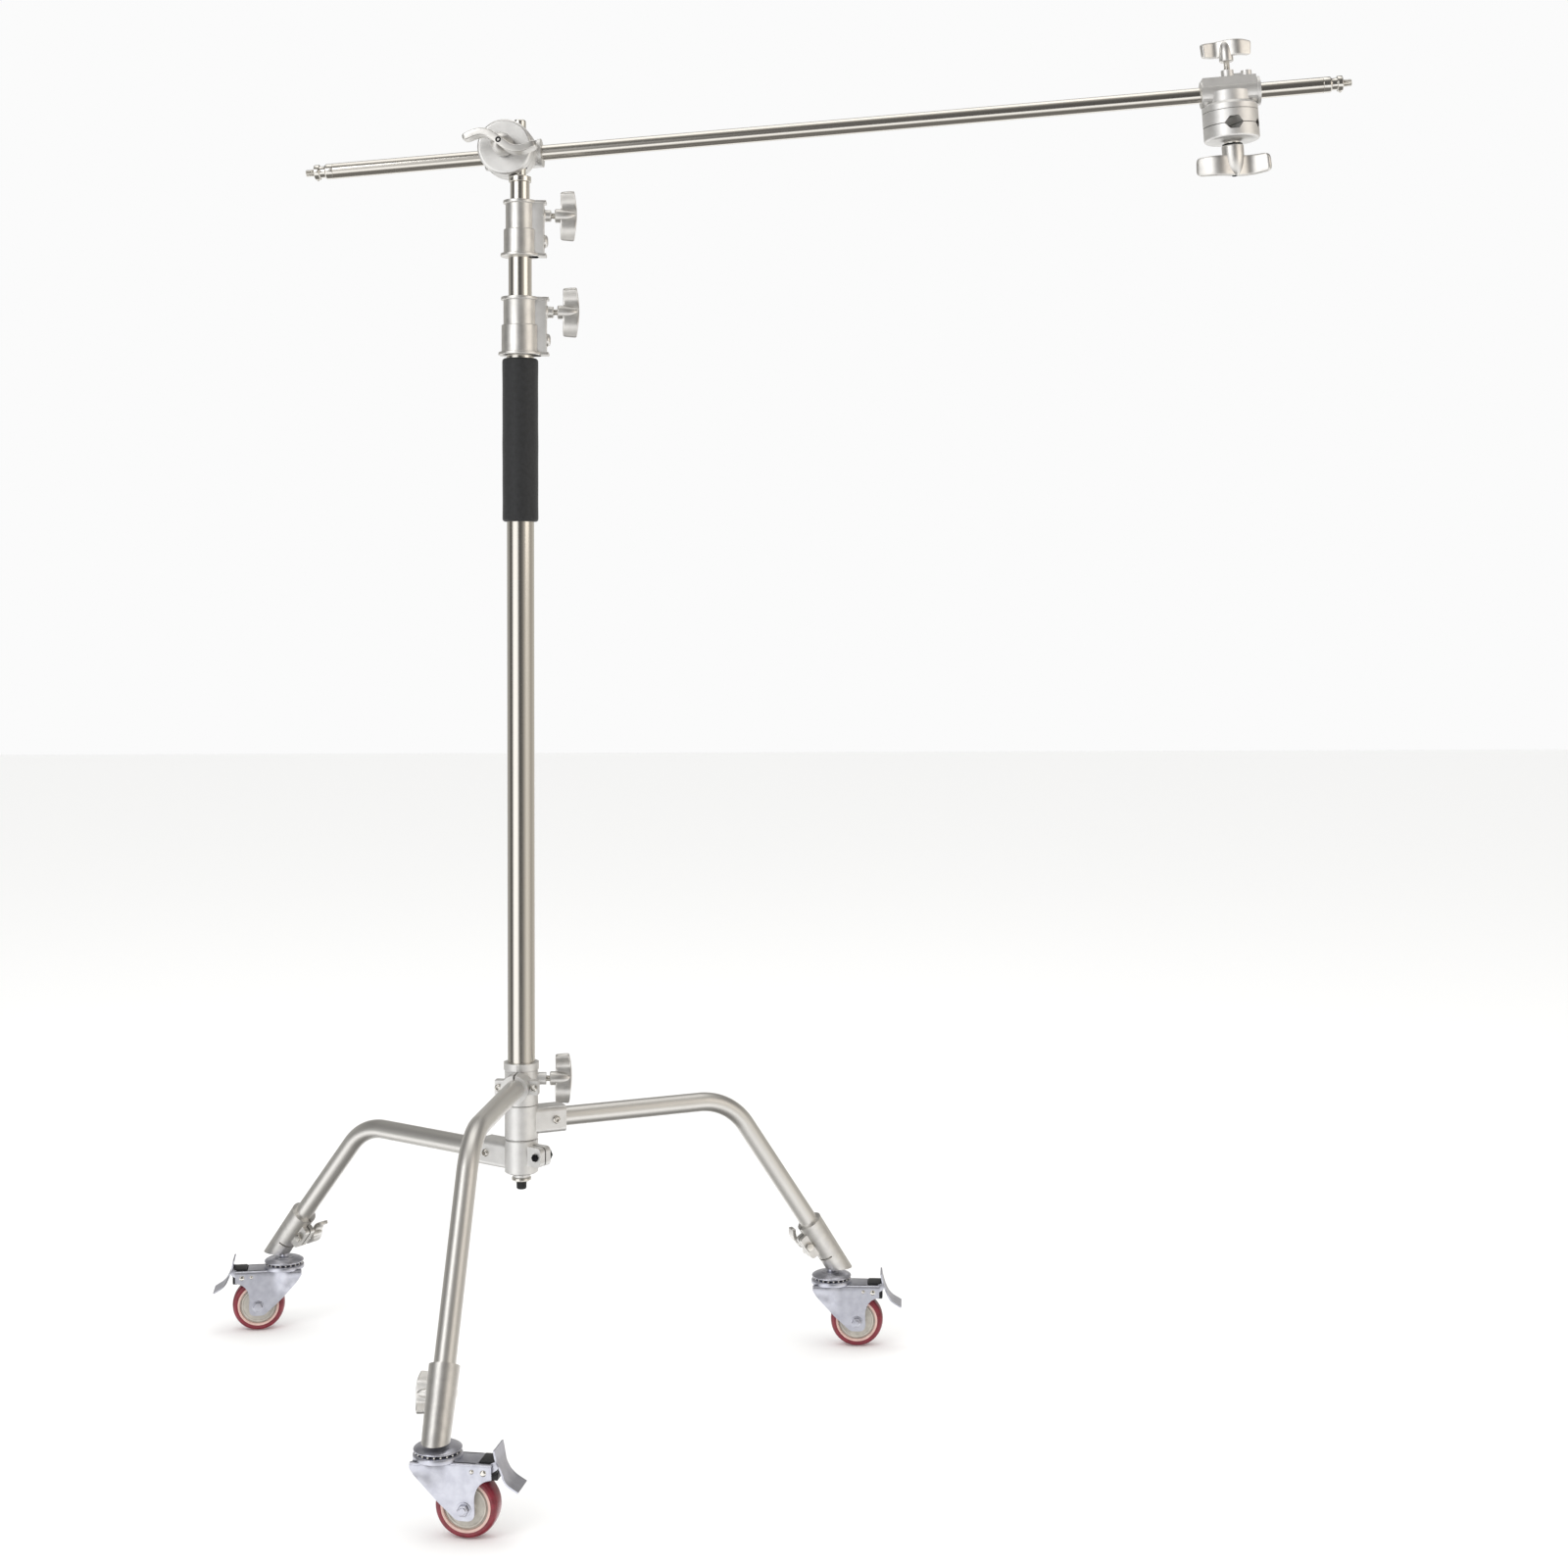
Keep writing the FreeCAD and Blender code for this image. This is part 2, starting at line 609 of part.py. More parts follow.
def make_shoe(name, run, bend_start, turn, knob_side):
    """The sleeve that clamps a caster to the leg's end, its knob and its nut; the stem enters below."""
    slope = leg_path(run, bend_start)[3]
    up = Vector(-slope.x, 0, -slope.y)
    under = Vector(slope.y, 0, -slope.x)
    ankle = Vector(float(S.foot_circle), 0, float(S.ankle))
    local = frame(ankle, under, up)  # local +Z runs up the leg, local +X points to its underside
    reach, toe = S.shoe_reach, 34.0
    sleeve = cone(f"{name}_sleeve", S.shoe_toe_radius, S.shoe_radius, reach + toe, spot(z=-toe))
    half_lug = S.lug_width / 2
    lug = block(f"{name}_lug", 8, -half_lug, 18, (19, S.lug_width, 34))
    lug = round_edges(f"{name}_lug_round", lug, 5, lambda e: abs(e.tangentAt(e.FirstParameter).y) > 0.9)
    solid = fuse(f"{name}_solid", [sleeve, lug])
    solid.Placement = local
    tools = [
        cylinder(f"{name}_bore", S.leg_radius, reach + 1, spot()),
        block(f"{name}_slit", 5, -1, 6, (30, 2, 60)),
        block(f"{name}_cross", 4, -20, 6, (20, 40, 2.4)),
        cylinder(f"{name}_bolt_hole", 3.1, 60, spot(S.lug_screw, -30, 36, Y_AXIS)),
    ]
    for tool in tools:
        tool.Placement = local.multiply(tool.Placement)
    floor_cut = block(f"{name}_floor", 380, -60, 40, (140, 120, S.shoe_low - 40))
    stem_hole = cylinder(f"{name}_stem_hole", 6, 7, spot(S.foot_circle, 0, S.shoe_low - 1))
    place = turned_by(Z_AXIS, turn)
    keep(cut(f"{name}_casting", solid, [*tools, floor_cut, stem_hole]), f"caster_socket_{name}", place)
    outward = Vector(0, knob_side, 0)
    middle = local.multVec(Vector(float(S.lug_screw), 0, 36))  # middle of the lug, on the knob's screw
    knob_place = place.multiply(frame(middle + outward * float(half_lug + 0.3), up, outward))
    wing_knob(f"socket_knob_{name}", knob_place, gap=5, screw_in=20, scale=0.72, screw_radius=3)
    nut_base = middle - outward * float(half_lug + 0.1)
    nut = hexagon(f"{name}_nut", 6, 4.5, spot(nut_base.x, nut_base.y, nut_base.z, -outward))
    hole = cylinder(f"{name}_nut_hole", 3.1, 6, spot(nut_base.x, nut_base.y, nut_base.z, -outward))
    nut = cut(f"{name}_nut_bored", nut, [hole])
    nut.Placement = place
    return nut


def make_legs():
    clamp_screws = make_base_hub()
    runs = {"front": S.front_leg_run, "right": S.right_leg_run, "left": S.left_leg_run}
    bends = {"front": S.front_bend_start, "right": S.side_bend_start, "left": S.side_bend_start}
    nuts = {}
    for name, turn in LEG_TURN.items():
        leg = make_leg(f"{name}_tube", runs[name], bends[name])
        keep(leg, f"{name}_leg", turned_by(Z_AXIS, turn))
        nuts[name] = make_shoe(name, runs[name], bends[name], turn, KNOB_SIDE[name])
    keep(group("front_fasteners", [*clamp_screws, nuts["front"]]), "front_leg_screws")
    spans = {
        "right": (S.right_hub_low, S.hub_low - 0.4, 56),
        "left": (S.left_hub_low, S.right_hub_low - 0.4, 62),
    }
    for name, (low, high, reach) in spans.items():
        place = turned_by(Z_AXIS, LEG_TURN[name])
        solid, tools = make_leg_hub(f"{name}_hub", low, high, runs[name], reach)
        screws = [nuts[name]]
        near = -1 if name == "right" else 1  # side of the socket that faces the front
        beside = float(S.socket_width / 2 + S.touch_gap)
        foot = place.multVec(Vector(reach - 14, beside * near, float(runs[name])))
        facing = place.Rotation.multVec(Vector(0, near, 0))
        socket_spot = spot(foot.x, foot.y, foot.z, facing)
        screws.append(fuse(f"{name}_socket_screw", [
            cylinder(f"{name}_screw_head", 5, 2.6, socket_spot),
            hexagon(f"{name}_screw_hex", 3, 4, socket_spot),
        ]))
        if name == "left":
            # locking lug of the lower hub, on the side away from its leg
            lug = block("lock_lug", -41, -S.lock_width / 2, low + 12, (26, S.lock_width, 25))
            lug = round_edges("lock_lug_round", lug, 6, lambda e: abs(e.tangentAt(e.FirstParameter).y) > 0.9)
            solid = fuse("left_hub_lugged", [solid, lug])
            tools.append(block("lock_slit", -42, -1, low + 11, (30, 2, 27)))
            beside = float(S.lock_width / 2 + S.touch_gap)
            for sign in (-1, 1):
                foot = place.multVec(Vector(-33, beside * sign, low.value + 24.5))
                facing = place.Rotation.multVec(Vector(0, sign, 0))
                size = (7.5, 6) if sign == -1 else (5, 3.5)
                screws.append(hexagon(f"lock_bolt{sign + 1}", *size, spot(foot.x, foot.y, foot.z, facing)))
        keep(cut(f"{name}_hub_casting", solid, tools), f"{name}_leg_hub", place)
        keep(group(f"{name}_fasteners", screws), f"{name}_leg_screws")


# --- casters ------------------------------------------------------------------------------------------


def make_caster(name):
    """A braked swivel caster: its stem is on the local Z axis and it trails towards local +X."""
    turn = LEG_TURN[name]
    foot = radial(turn) * float(S.foot_circle)
    place = Placement(foot, Rotation(Z_AXIS, TRAIL_TURN[name]))
    plate_top, race = 86.0, 92.0
    cup = [
        (0, race + 0.5),
        (S.cup_radius, race + 0.5),
        (S.cup_radius, race + 3),
        (S.cup_radius - 5, S.caster_top - 2),
        (12, S.caster_top),
        (6, S.caster_top),
        (6, S.caster_top + 9),
        (0, S.caster_top + 9),
    ]
    keep(turned(f"cup_{name}", cup), f"caster_cup_{name}", place)
    cheek = [
        (-26, plate_top),
        (-26, plate_top - 5),
        (4, 44),
        (22, 28),
        (27, 23),
        (43, 23),
        (48, 28),
        (47, 50),
        (51, 62),
        (58, 68),
        (66, 70),
        (66, plate_top),
    ]
    inside = S.fork_width - S.fork_plate * 2
    silhouette = plate(f"cheeks_{name}", cheek, S.fork_width)
    race_ring = cylinder(f"race_{name}", S.cup_radius + 0.6, race - plate_top + 1, spot(z=plate_top - 1))
    solid = fuse(f"fork_solid_{name}", [silhouette, race_ring])
    void = block(f"fork_void_{name}", -30, inside / -2, 0, (110, inside, plate_top - 3))
    ear_gap = 0.6  # each side of the pedal's ears
    slot = S.pedal_ears + 2 * ear_gap
    notch = block(f"fork_notch_{name}", 50, -slot / 2, 75, (30, slot, 20))
    trail, wheel = S.trail, S.wheel_radius
    tools = [
        void,
        notch,
        cylinder(f"fork_eye_{name}", S.axle_radius, 60, spot(trail, -30, wheel, Y_AXIS)),
        cylinder(f"fork_pivot_{name}", 3.06, 60, spot(57, -30, 77, Y_AXIS)),
    ]
    keep(cut(f"fork_plate_{name}", solid, tools), f"caster_fork_{name}", place)
    outside = float(S.fork_width / 2 + S.touch_gap)
    axle = fuse(f"axle_whole_{name}", [
        cylinder(f"axle_rod_{name}", S.axle_radius, 2 * outside, spot(trail, -outside, wheel, Y_AXIS)),
        hexagon(f"axle_head_{name}", 6.5, 4, spot(trail, -outside - 4, wheel, Y_AXIS)),
        hexagon(f"axle_nut_{name}", 6.5, 4.5, spot(trail, outside, wheel, Y_AXIS)),
    ])
    keep(axle, f"caster_axle_{name}", place)
    half = S.wheel_width / 2
    tread = [
        (S.rim_radius, -half),
        (wheel - 3.5, -half),
        (wheel - 1, -half + 3),
        (wheel, -half + 7),
        (wheel, half - 7),
        (wheel - 1, half - 3),
        (wheel - 3.5, half),
        (S.rim_radius, half),
    ]
    upright = frame(Vector(float(trail), 0, float(wheel)), X_AXIS, Y_AXIS)
    keep(turned(f"tread_{name}", tread), f"wheel_tread_{name}", place.multiply(upright))
    bore = S.axle_radius + S.running_gap
    rim = S.rim_radius
    core = [
        (bore, -half - 2),
        (10, -half - 2),
        (11, -half + 2),
        (rim - 6, -half + 2),
        (rim - 5, -half + 0.2),
        (rim, -half + 0.2),
        (rim, half - 0.2),
        (rim - 5, half - 0.2),
        (rim - 6, half - 2),
        (11, half - 2),
        (10, half + 2),
        (bore, half + 2),
    ]
    keep(turned(f"core_{name}", core), f"wheel_hub_{name}", place.multiply(upright))
    make_pedal(name, place)


def make_pedal(name, place):
    """The brake pedal: a bent sheet on two ears, which rock about a pin between the fork's cheeks."""
    sheet_points = [
        (70.5, 102),
        (68.5, 101.4),
        (71.5, 86),
        (80.5, 66),
        (96, 57),
        (97.2, 58.8),
        (82.2, 67.6),
        (73.4, 87),
    ]
    leaf = plate(f"leaf_{name}", sheet_points, 35)
    ear_points = [(53.5, 73), (60, 72.2), (72, 80), (73, 86), (70, 89), (53.5, 81)]
    ears = plate(f"ears_{name}", ear_points, S.pedal_ears)
    gap = block(f"ear_gap_{name}", 40, -12, 60, (31, 24, 40))
    ears_cut = cut(f"ears_cut_{name}", ears, [gap])
    pin = cylinder(f"pedal_pin_{name}", 3, 40, spot(57, -20, 77, Y_AXIS))
    keep(fuse(f"pedal_whole_{name}", [leaf, ears_cut, pin]), f"brake_pedal_{name}", place)


# --- boom and grip heads ------------------------------------------------------------------------------


def jaw_grooves(name, split, side):
    """Cutting tools for one jaw's half of the two holes, which run along local Y."""
    length = 2 * float(S.disc_radius) + 4
    big = [
        (S.jaw_hole_offset - 10.5, split - side * 0.6),
        (S.jaw_hole_offset + 10.5, split - side * 0.6),
        (S.jaw_hole_offset + 5, S.jaw_split + S.jaw_hole_depth * side),
        (S.jaw_hole_offset - 5, S.jaw_split + S.jaw_hole_depth * side),
    ]
    small = [
        (-S.small_hole_offset - 6, split - side * 0.6),
        (-S.small_hole_offset, S.jaw_split + 6.0 * side),
        (-S.small_hole_offset + 6, split - side * 0.6),
    ]
    return [plate(f"{name}_big", big, length), plate(f"{name}_small", small, length)]


def make_jaw(name, back, front, split, side, place):
    """One grip disc, with its halves of the holes on the side of the split."""
    disc = cylinder(f"{name}_disc", S.disc_radius, front - back, spot(z=back))
    outer_ring = front if side > 0 else back
    disc = round_edges(f"{name}_round", disc, 4 if side > 0 else 0.8, is_ring(S.disc_radius, outer_ring))
    hole = cylinder(f"{name}_hole", S.rod_radius + 0.3, front - back + 2, spot(z=back - 1))
    keep(cut(f"{name}_casting", disc, [hole, *jaw_grooves(name, split, side)]), name, place)


def make_head_block(name, place):
    """The receiver: a saddle bored for the arm along local X, with the mount disc towards local +Z."""
    back = S.mount_disc_back
    pieces = [
        cylinder(f"{name}_saddle", 17, 72, spot(-36, 0, 0, X_AXIS)),
        block(f"{name}_cheeks", -34, -15, -19, (68, 30, 30)),
        cylinder(f"{name}_neck", 27, back, spot()),
        cone(f"{name}_disc", 31, S.disc_radius, 4, spot(z=back)),
        cylinder(f"{name}_rim", S.disc_radius, S.jaw_back - back - 4.3, spot(z=back + 4)),
        cylinder(f"{name}_boss", 8, 14, spot(z=-29)),
        cylinder(f"{name}_boss2", 7, 12, spot(x=24, z=-27)),
        block(f"{name}_rib", 0, -4, -24, (24, 8, 8)),
        cylinder(f"{name}_ring", 18.5, 4, spot(35, 0, 0, X_AXIS)),
    ]
    solid = fuse(f"{name}_solid", pieces)
    tools = [
        cylinder(f"{name}_bore", S.arm_radius + S.running_gap, 90, spot(-45, 0, 0, X_AXIS)),
        cylinder(f"{name}_rod_hole", S.rod_radius + S.touch_gap, 20, spot(z=12.6)),
        cylinder(f"{name}_screw_hole", S.screw_radius + S.touch_gap, 31, spot(z=-30)),
    ]
    keep(cut(f"{name}_casting", solid, tools), name, place)


def make_head(name, block_place, jaw_place, handle_turn):
    """A grip head: receiver block, two jaws, the T-handle with its rod, and the block's wing knob."""
    make_head_block(f"{name}_block", block_place)
    half_gap = S.jaw_gap / 2
    make_jaw(f"{name}_inner_jaw", S.jaw_back, S.jaw_split - half_gap, S.jaw_split - half_gap, -1, jaw_place)
    make_jaw(f"{name}_outer_jaw", S.jaw_split + half_gap, S.jaw_front, S.jaw_split + half_gap, 1, jaw_place)
    face = float(S.jaw_front)
    rod = cylinder(f"{name}_rod", S.rod_radius, face + 8 - 14, spot(z=14))
    washer = cylinder(f"{name}_washer", 10.5, 3.2, spot(z=face + 0.3))
    stem_radius = S.handle_stem
    bullet = [
        (0, face + 3),
        (stem_radius, face + 3),
        (stem_radius - 0.2, face + 16),
        (stem_radius - 1.5, face + 28),
        (stem_radius - 4.5, face + 38),
        (stem_radius - 8.5, face + 44),
        (0, face + 44),
    ]
    stem = turned(f"{name}_stem", bullet)
    bar = wing(f"{name}_bar", 94.0, 10.0, 8.0, 26)
    bar.Placement = spot(z=face + 31)
    handle = fuse(f"{name}_handle_whole", [rod, washer, stem, bar])
    keep(handle, f"{name}_handle", block_place.multiply(turned_by(Z_AXIS, handle_turn)))
    knob_place = block_place.multiply(frame(Vector(0, 0, -29), X_AXIS, -Z_AXIS))
    wing_knob(f"{name}_block_knob", knob_place, gap=11, screw_in=29 - float(S.arm_radius) - 0.4)


def end_stud(name, place):
    """A stepped end fitting, with its plug in the tube and a threaded tip, out along local +Z."""
    inner = S.arm_radius - S.tube_wall
    points = [
        (0, -25),
        (inner, -25),
        (inner, 0),
        (S.arm_radius, 0),
        (S.arm_radius, 9),
        (S.arm_radius - 1, 10),
        (S.end_neck, 10.6),
        (S.end_neck, 17.4),
        (S.end_flange, 18),
        (S.end_flange, 24.4),
        (5, 25),
        (4.6, 25),
        (4.6, 36),
        (0, 36),
    ]
    fitting = turned(name, points)
    fitting.Placement = place
    return fitting


def make_boom():
    """The boom and both heads, and the frames that the joints use."""
    jaw_z = radial(HEAD_TURN - 90)
    jaw_x = radial(HEAD_TURN)
    screw_foot = jaw_x * -float(S.jaw_hole_offset) - jaw_z * float(S.jaw_split)
    origin = screw_foot + Vector(0, 0, float(S.head_height))
    jaws = frame(origin, jaw_x, jaw_z)
    first_block = jaws.multiply(turned_by(Z_AXIS, BOOM_RISE))
    make_head("head1", first_block, jaws, HANDLE_TURN)
    arm = tube("boom", S.arm_radius, -S.arm_left, S.arm_right)
    lying = frame(Vector(), Y_AXIS, X_AXIS)
    keep(arm, "boom_tube", first_block.multiply(lying))
    ends = [
        end_stud("left_end", first_block.multiply(spot(-S.arm_left, 0, 0, -X_AXIS))),
        end_stud("right_end", first_block.multiply(spot(S.arm_right, 0, 0, X_AXIS))),
    ]
    keep(group("end_fittings", ends), "boom_end_studs")
    second = first_block.multiply(frame(Vector(float(S.second_head), 0, 0), X_AXIS, -Y_AXIS))
    make_head("head2", second, second.multiply(turned_by(Z_AXIS, JAW_TURN)), 0)


# --- assembly -----------------------------------------------------------------------------------------


def check_document():
    """Stops if any object failed or any sub-part's shape is unusable."""
    for item in doc.Objects:
        if {"Invalid", "Error"} & set(item.State):
            raise RuntimeError(f"{item.Name} ({item.Label}) failed: {item.State}")
    for piece in parts:
        if piece.Shape.isNull() or not piece.Shape.isValid():
            raise RuntimeError(f"{piece.Label} has no valid shape")


make_column()
make_collar(
    "lower_collar", S.collar_low, S.collar_step, S.collar_high, as_size(21.5),
    S.column_radius, S.column_top, S.riser2_radius, S.lower_knob_height,
)
make_risers()
make_collar(
    "upper_collar", S.top_collar_low, S.top_collar_step, S.top_collar_high, as_size(18.5),
    S.riser2_radius, S.riser2_top, S.riser3_radius, S.upper_knob_height,
)
make_legs()
for foot_name in LEG_TURN:
    make_caster(foot_name)
make_boom()
doc.recompute()
check_document()

os.makedirs("parts", exist_ok=True)
for piece in parts:
    piece.Shape.exportStep(f"parts/{piece.Label}.step")
    solids = len(piece.Shape.Solids)
    print(f"{piece.Label}: {solids} solid(s), {piece.Shape.Volume / 1000:.1f} cm3")
print(f"{len(parts)} sub-parts")
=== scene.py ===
"""A rolling C-stand with a boom arm and two grip heads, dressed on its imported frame.

Lengths in the classes are millimetres and angles are degrees. A shape is worked out in a local frame and
then set in the stand's frame: +Z up, the column on the origin, the boom out to +X and the front at -Y.
"""
from __future__ import annotations

import logging
import math
from dataclasses import dataclass
from enum import Enum

import bmesh
import bpy
import numpy as np
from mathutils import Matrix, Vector


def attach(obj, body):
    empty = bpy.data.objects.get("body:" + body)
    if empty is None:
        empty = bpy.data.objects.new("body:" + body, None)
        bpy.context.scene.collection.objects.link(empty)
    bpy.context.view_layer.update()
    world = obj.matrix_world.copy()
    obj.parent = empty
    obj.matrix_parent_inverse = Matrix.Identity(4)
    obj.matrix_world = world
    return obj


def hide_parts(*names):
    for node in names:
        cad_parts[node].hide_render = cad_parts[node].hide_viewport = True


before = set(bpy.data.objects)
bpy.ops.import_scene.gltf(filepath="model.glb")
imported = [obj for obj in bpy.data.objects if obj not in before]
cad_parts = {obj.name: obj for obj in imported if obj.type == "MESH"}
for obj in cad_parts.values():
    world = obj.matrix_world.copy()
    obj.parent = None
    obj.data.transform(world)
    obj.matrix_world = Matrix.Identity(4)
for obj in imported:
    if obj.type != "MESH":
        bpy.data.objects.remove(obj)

log = logging.getLogger("c_stand")
MM = 0.001
SEAM = 2e-6  # metres; points closer than this are one point of a seam or a pole
SLIVER = 1e-7  # metres; edges shorter than this are dissolved
CREASE = 32.0  # degrees; an edge between faces that turn more than this stays sharp
LEG_TURNS = {"front": -98.0, "right": 22.0, "left": 142.0}
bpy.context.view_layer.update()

Array = np.ndarray
Node = bpy.types.Node
Material = bpy.types.Material


# --- places and surfaces ------------------------------------------------------------------------------


def unit(vector: Array | list[float]) -> Array:
    """Returns the vector scaled to length 1."""
    vector = np.asarray(vector, float)
    return vector / np.linalg.norm(vector)


def radial(degrees: float) -> Array:
    """Returns the unit vector at that turn about +Z, in the floor's plane."""
    return np.array([math.cos(math.radians(degrees)), math.sin(math.radians(degrees)), 0.0])


@dataclass(frozen=True)
class Place:
    """A local frame: its origin and the directions of its +X and +Z, in the frame it stands in."""

    origin: tuple[float, float, float] = (0.0, 0.0, 0.0)
    x: tuple[float, float, float] = (1.0, 0.0, 0.0)
    z: tuple[float, float, float] = (0.0, 0.0, 1.0)

    @property
    def axes(self) -> Array:
        """The local axes as the rows of a 3 by 3 array."""
        x, z = unit(self.x), unit(self.z)
        return np.array([x, np.cross(z, x), z])

    def of(self, points: Array) -> Array:
        """Carries local points, or one local point, into the outer frame."""
        return np.asarray(self.origin) + np.asarray(points, float) @ self.axes

    def place(self, origin: Array | tuple = (0, 0, 0), x: Array | tuple = (1, 0, 0),
              z: Array | tuple = (0, 0, 1)) -> Place:
        """Sets a frame given in this one.

        Args:
            origin: its origin in this frame.
            x: direction of its +X in this frame.
            z: direction of its +Z in this frame.

        Returns:
            The same frame, in the outer frame.
        """
        return Place(tuple(self.of(origin)), tuple(np.asarray(x, float) @ self.axes),
                     tuple(np.asarray(z, float) @ self.axes))

    def turned(self, degrees: float) -> Place:
        """Turns this frame about its own +Z."""
        return self.place(x=radial(degrees))


def outward(x: float, z: float) -> Place:
    """Returns a frame on the XZ plane whose +Z points out along +X."""
    return Place((x, 0, z), (0, 0, 1), (1, 0, 0))


@dataclass
class Shell:
    """Points and faces of one or more closed surfaces.

    Attributes:
        points: n by 3 points, in millimetres.
        faces: tuples of point indices.
        uv: n by 2 distances along and round the surface, in metres.
    """

    points: Array
    faces: list
    uv: Array

    def __add__(self, other: Shell) -> Shell:
        """Puts two shells together without joining them."""
        shift = len(self.points)
        moved = [tuple(i + shift for i in face) for face in other.faces]
        return Shell(np.vstack([self.points, other.points]), self.faces + moved,
                     np.vstack([self.uv, other.uv]))

    def at(self, place: Place) -> Shell:
        """Returns the shell carried from the local frame into the outer one."""
        return Shell(place.of(self.points), self.faces, self.uv)


def grid(points: Array, uv: Array | None = None) -> Shell:
    """A surface through a grid of points: each cell of four neighbours is a face.

    Rows or columns that coincide are merged later, which closes seams and poles.

    Args:
        points: rows by columns by 3.
        uv: rows by columns by 2, in metres, or None for distances measured along the grid.

    Returns:
        The surface.
    """
    rows, columns = points.shape[:2]
    index = np.arange(rows * columns).reshape(rows, columns)
    cells = np.stack([index[:-1, :-1], index[:-1, 1:], index[1:, 1:], index[1:, :-1]], axis=-1)
    if uv is None:
        along = np.linalg.norm(np.diff(points, axis=0), axis=2).max(axis=1)
        around = np.linalg.norm(np.diff(points, axis=1), axis=2).max(axis=0)
        u = np.concatenate([[0.0], np.cumsum(along)]) * MM
        v = np.concatenate([[0.0], np.cumsum(around)]) * MM
        uv = np.stack(np.meshgrid(u, v, indexing="ij"), axis=-1)
    faces = list(map(tuple, cells.reshape(-1, 4).tolist()))
    return Shell(points.reshape(-1, 3), faces, uv.reshape(-1, 2))


def eased(corners: Array, radius: float | Array, closed: bool, steps: int = 4) -> Array:
    """Rounds the corners of a polyline.

    Each corner P becomes the curve P + (1 - s)^2 (A - P) + s^2 (C - P), where A and C lie on the two sides
    at the corner's own radius, or at 0.48 of a side that is too short for it.

    Args:
        corners: n by 2 or n by 3 points.
        radius: one distance, or one for each corner; 0 keeps a corner sharp.
        closed: whether the last point joins the first.
        steps: spans in each rounded corner.

    Returns:
        The rounded line's points, without a repeated end.
    """
    corners = np.asarray(corners, float)
    before, after = np.roll(corners, 1, axis=0) - corners, np.roll(corners, -1, axis=0) - corners
    lengths = [np.maximum(np.linalg.norm(side, axis=1, keepdims=True), 1e-9) for side in (before, after)]
    reach = np.broadcast_to(np.asarray(radius, float), (len(corners),)).copy()[:, None]
    if not closed:
        reach[[0, -1]] = 0
    back = before * np.minimum(reach / lengths[0], 0.48)
    ahead = after * np.minimum(reach / lengths[1], 0.48)
    s = np.linspace(0, 1, steps + 1)[None, :, None]
    curve = corners[:, None] + (1 - s) ** 2 * back[:, None] + s**2 * ahead[:, None]
    line = curve.reshape(-1, corners.shape[1])
    moved = np.linalg.norm(np.diff(line, axis=0), axis=1) > 1e-6
    line = line[np.concatenate([[True], moved])]
    if closed and np.linalg.norm(line[0] - line[-1]) < 1e-6:
        line = line[:-1]
    return line


def spun(profile: list | Array, radius: float | Array = 0.4, closed: bool = False, sides: int = 0,
         steps: int = 64, socket: float = 0.0) -> Shell:
    """A turned piece: an outline of (distance from the axis, height) carried round local +Z.

    With sides, the distance is multiplied by cos(pi / sides) / cos(angle from the middle of a side), which
    makes the section a polygon whose flats lie at the outline's distance.

    Args:
        profile: the outline's corners; an open outline starts and ends on the axis.
        radius: rounding of the corners, as in eased.
        closed: whether the outline is a ring's section.
        sides: sides of a polygonal section, or 0 for a round one.
        steps: faces round the axis.
        socket: with sides, only the points nearer the axis than this are polygonal.

    Returns:
        The closed surface.
    """
    line = eased(np.asarray(profile, float), radius, closed)
    if closed:
        line = np.vstack([line, line[:1]])
    turn = np.linspace(0, 2 * math.pi, steps + 1)
    reach = np.ones((len(line), len(turn)))
    if sides:
        flats = 1 / np.cos((turn % (2 * math.pi / sides)) - math.pi / sides)
        reach = np.where(line[:, :1] < (socket or np.inf), flats, 1.0)
    points = np.stack([line[:, :1] * reach * np.cos(turn), line[:, :1] * reach * np.sin(turn),
                       line[:, 1:] + 0 * reach], axis=-1)
    lengths = np.concatenate([[0.0], np.cumsum(np.linalg.norm(np.diff(line, axis=0), axis=1))])
    girth = turn * max(line[:, 0].max(), 1e-6)
    return grid(points, np.stack(np.meshgrid(lengths * MM, girth * MM, indexing="ij"), axis=-1))


def threaded(radius: float, pitch: float, low: float, high: float, depth: float = 0.7) -> Shell:
    """A screw thread on local +Z: r = radius - depth * (0.5 - 0.5 cos(2 pi z / pitch - turn)).

    Args:
        radius: over the crests.
        pitch: rise in one turn.
        low: lower end.
        high: upper end.
        depth: crest to root.

    Returns:
        The closed surface.
    """
    rows = max(int((high - low) / pitch * 8), 8)
    z = np.linspace(low, high, rows + 1)[:, None]
    turn = np.linspace(0, 2 * math.pi, 33)[None]
    reach = radius - depth * (0.5 - 0.5 * np.cos(2 * math.pi * z / pitch - turn))
    wall = np.stack([reach * np.cos(turn), reach * np.sin(turn), z + 0 * turn], axis=-1)
    ends = [np.broadcast_to(np.array([0.0, 0.0, end]), wall[:1].shape) for end in (low, high)]
    return grid(np.concatenate([ends[0], wall, ends[1]]))


def directions(path: Array, side: Array | tuple) -> tuple[Array, Array]:
    """Returns a path's unit directions, and the side direction made square to each of them."""
    ahead = unit_rows(np.gradient(path, axis=0))
    return ahead, unit_rows(side - (ahead @ np.asarray(side, float))[:, None] * ahead)


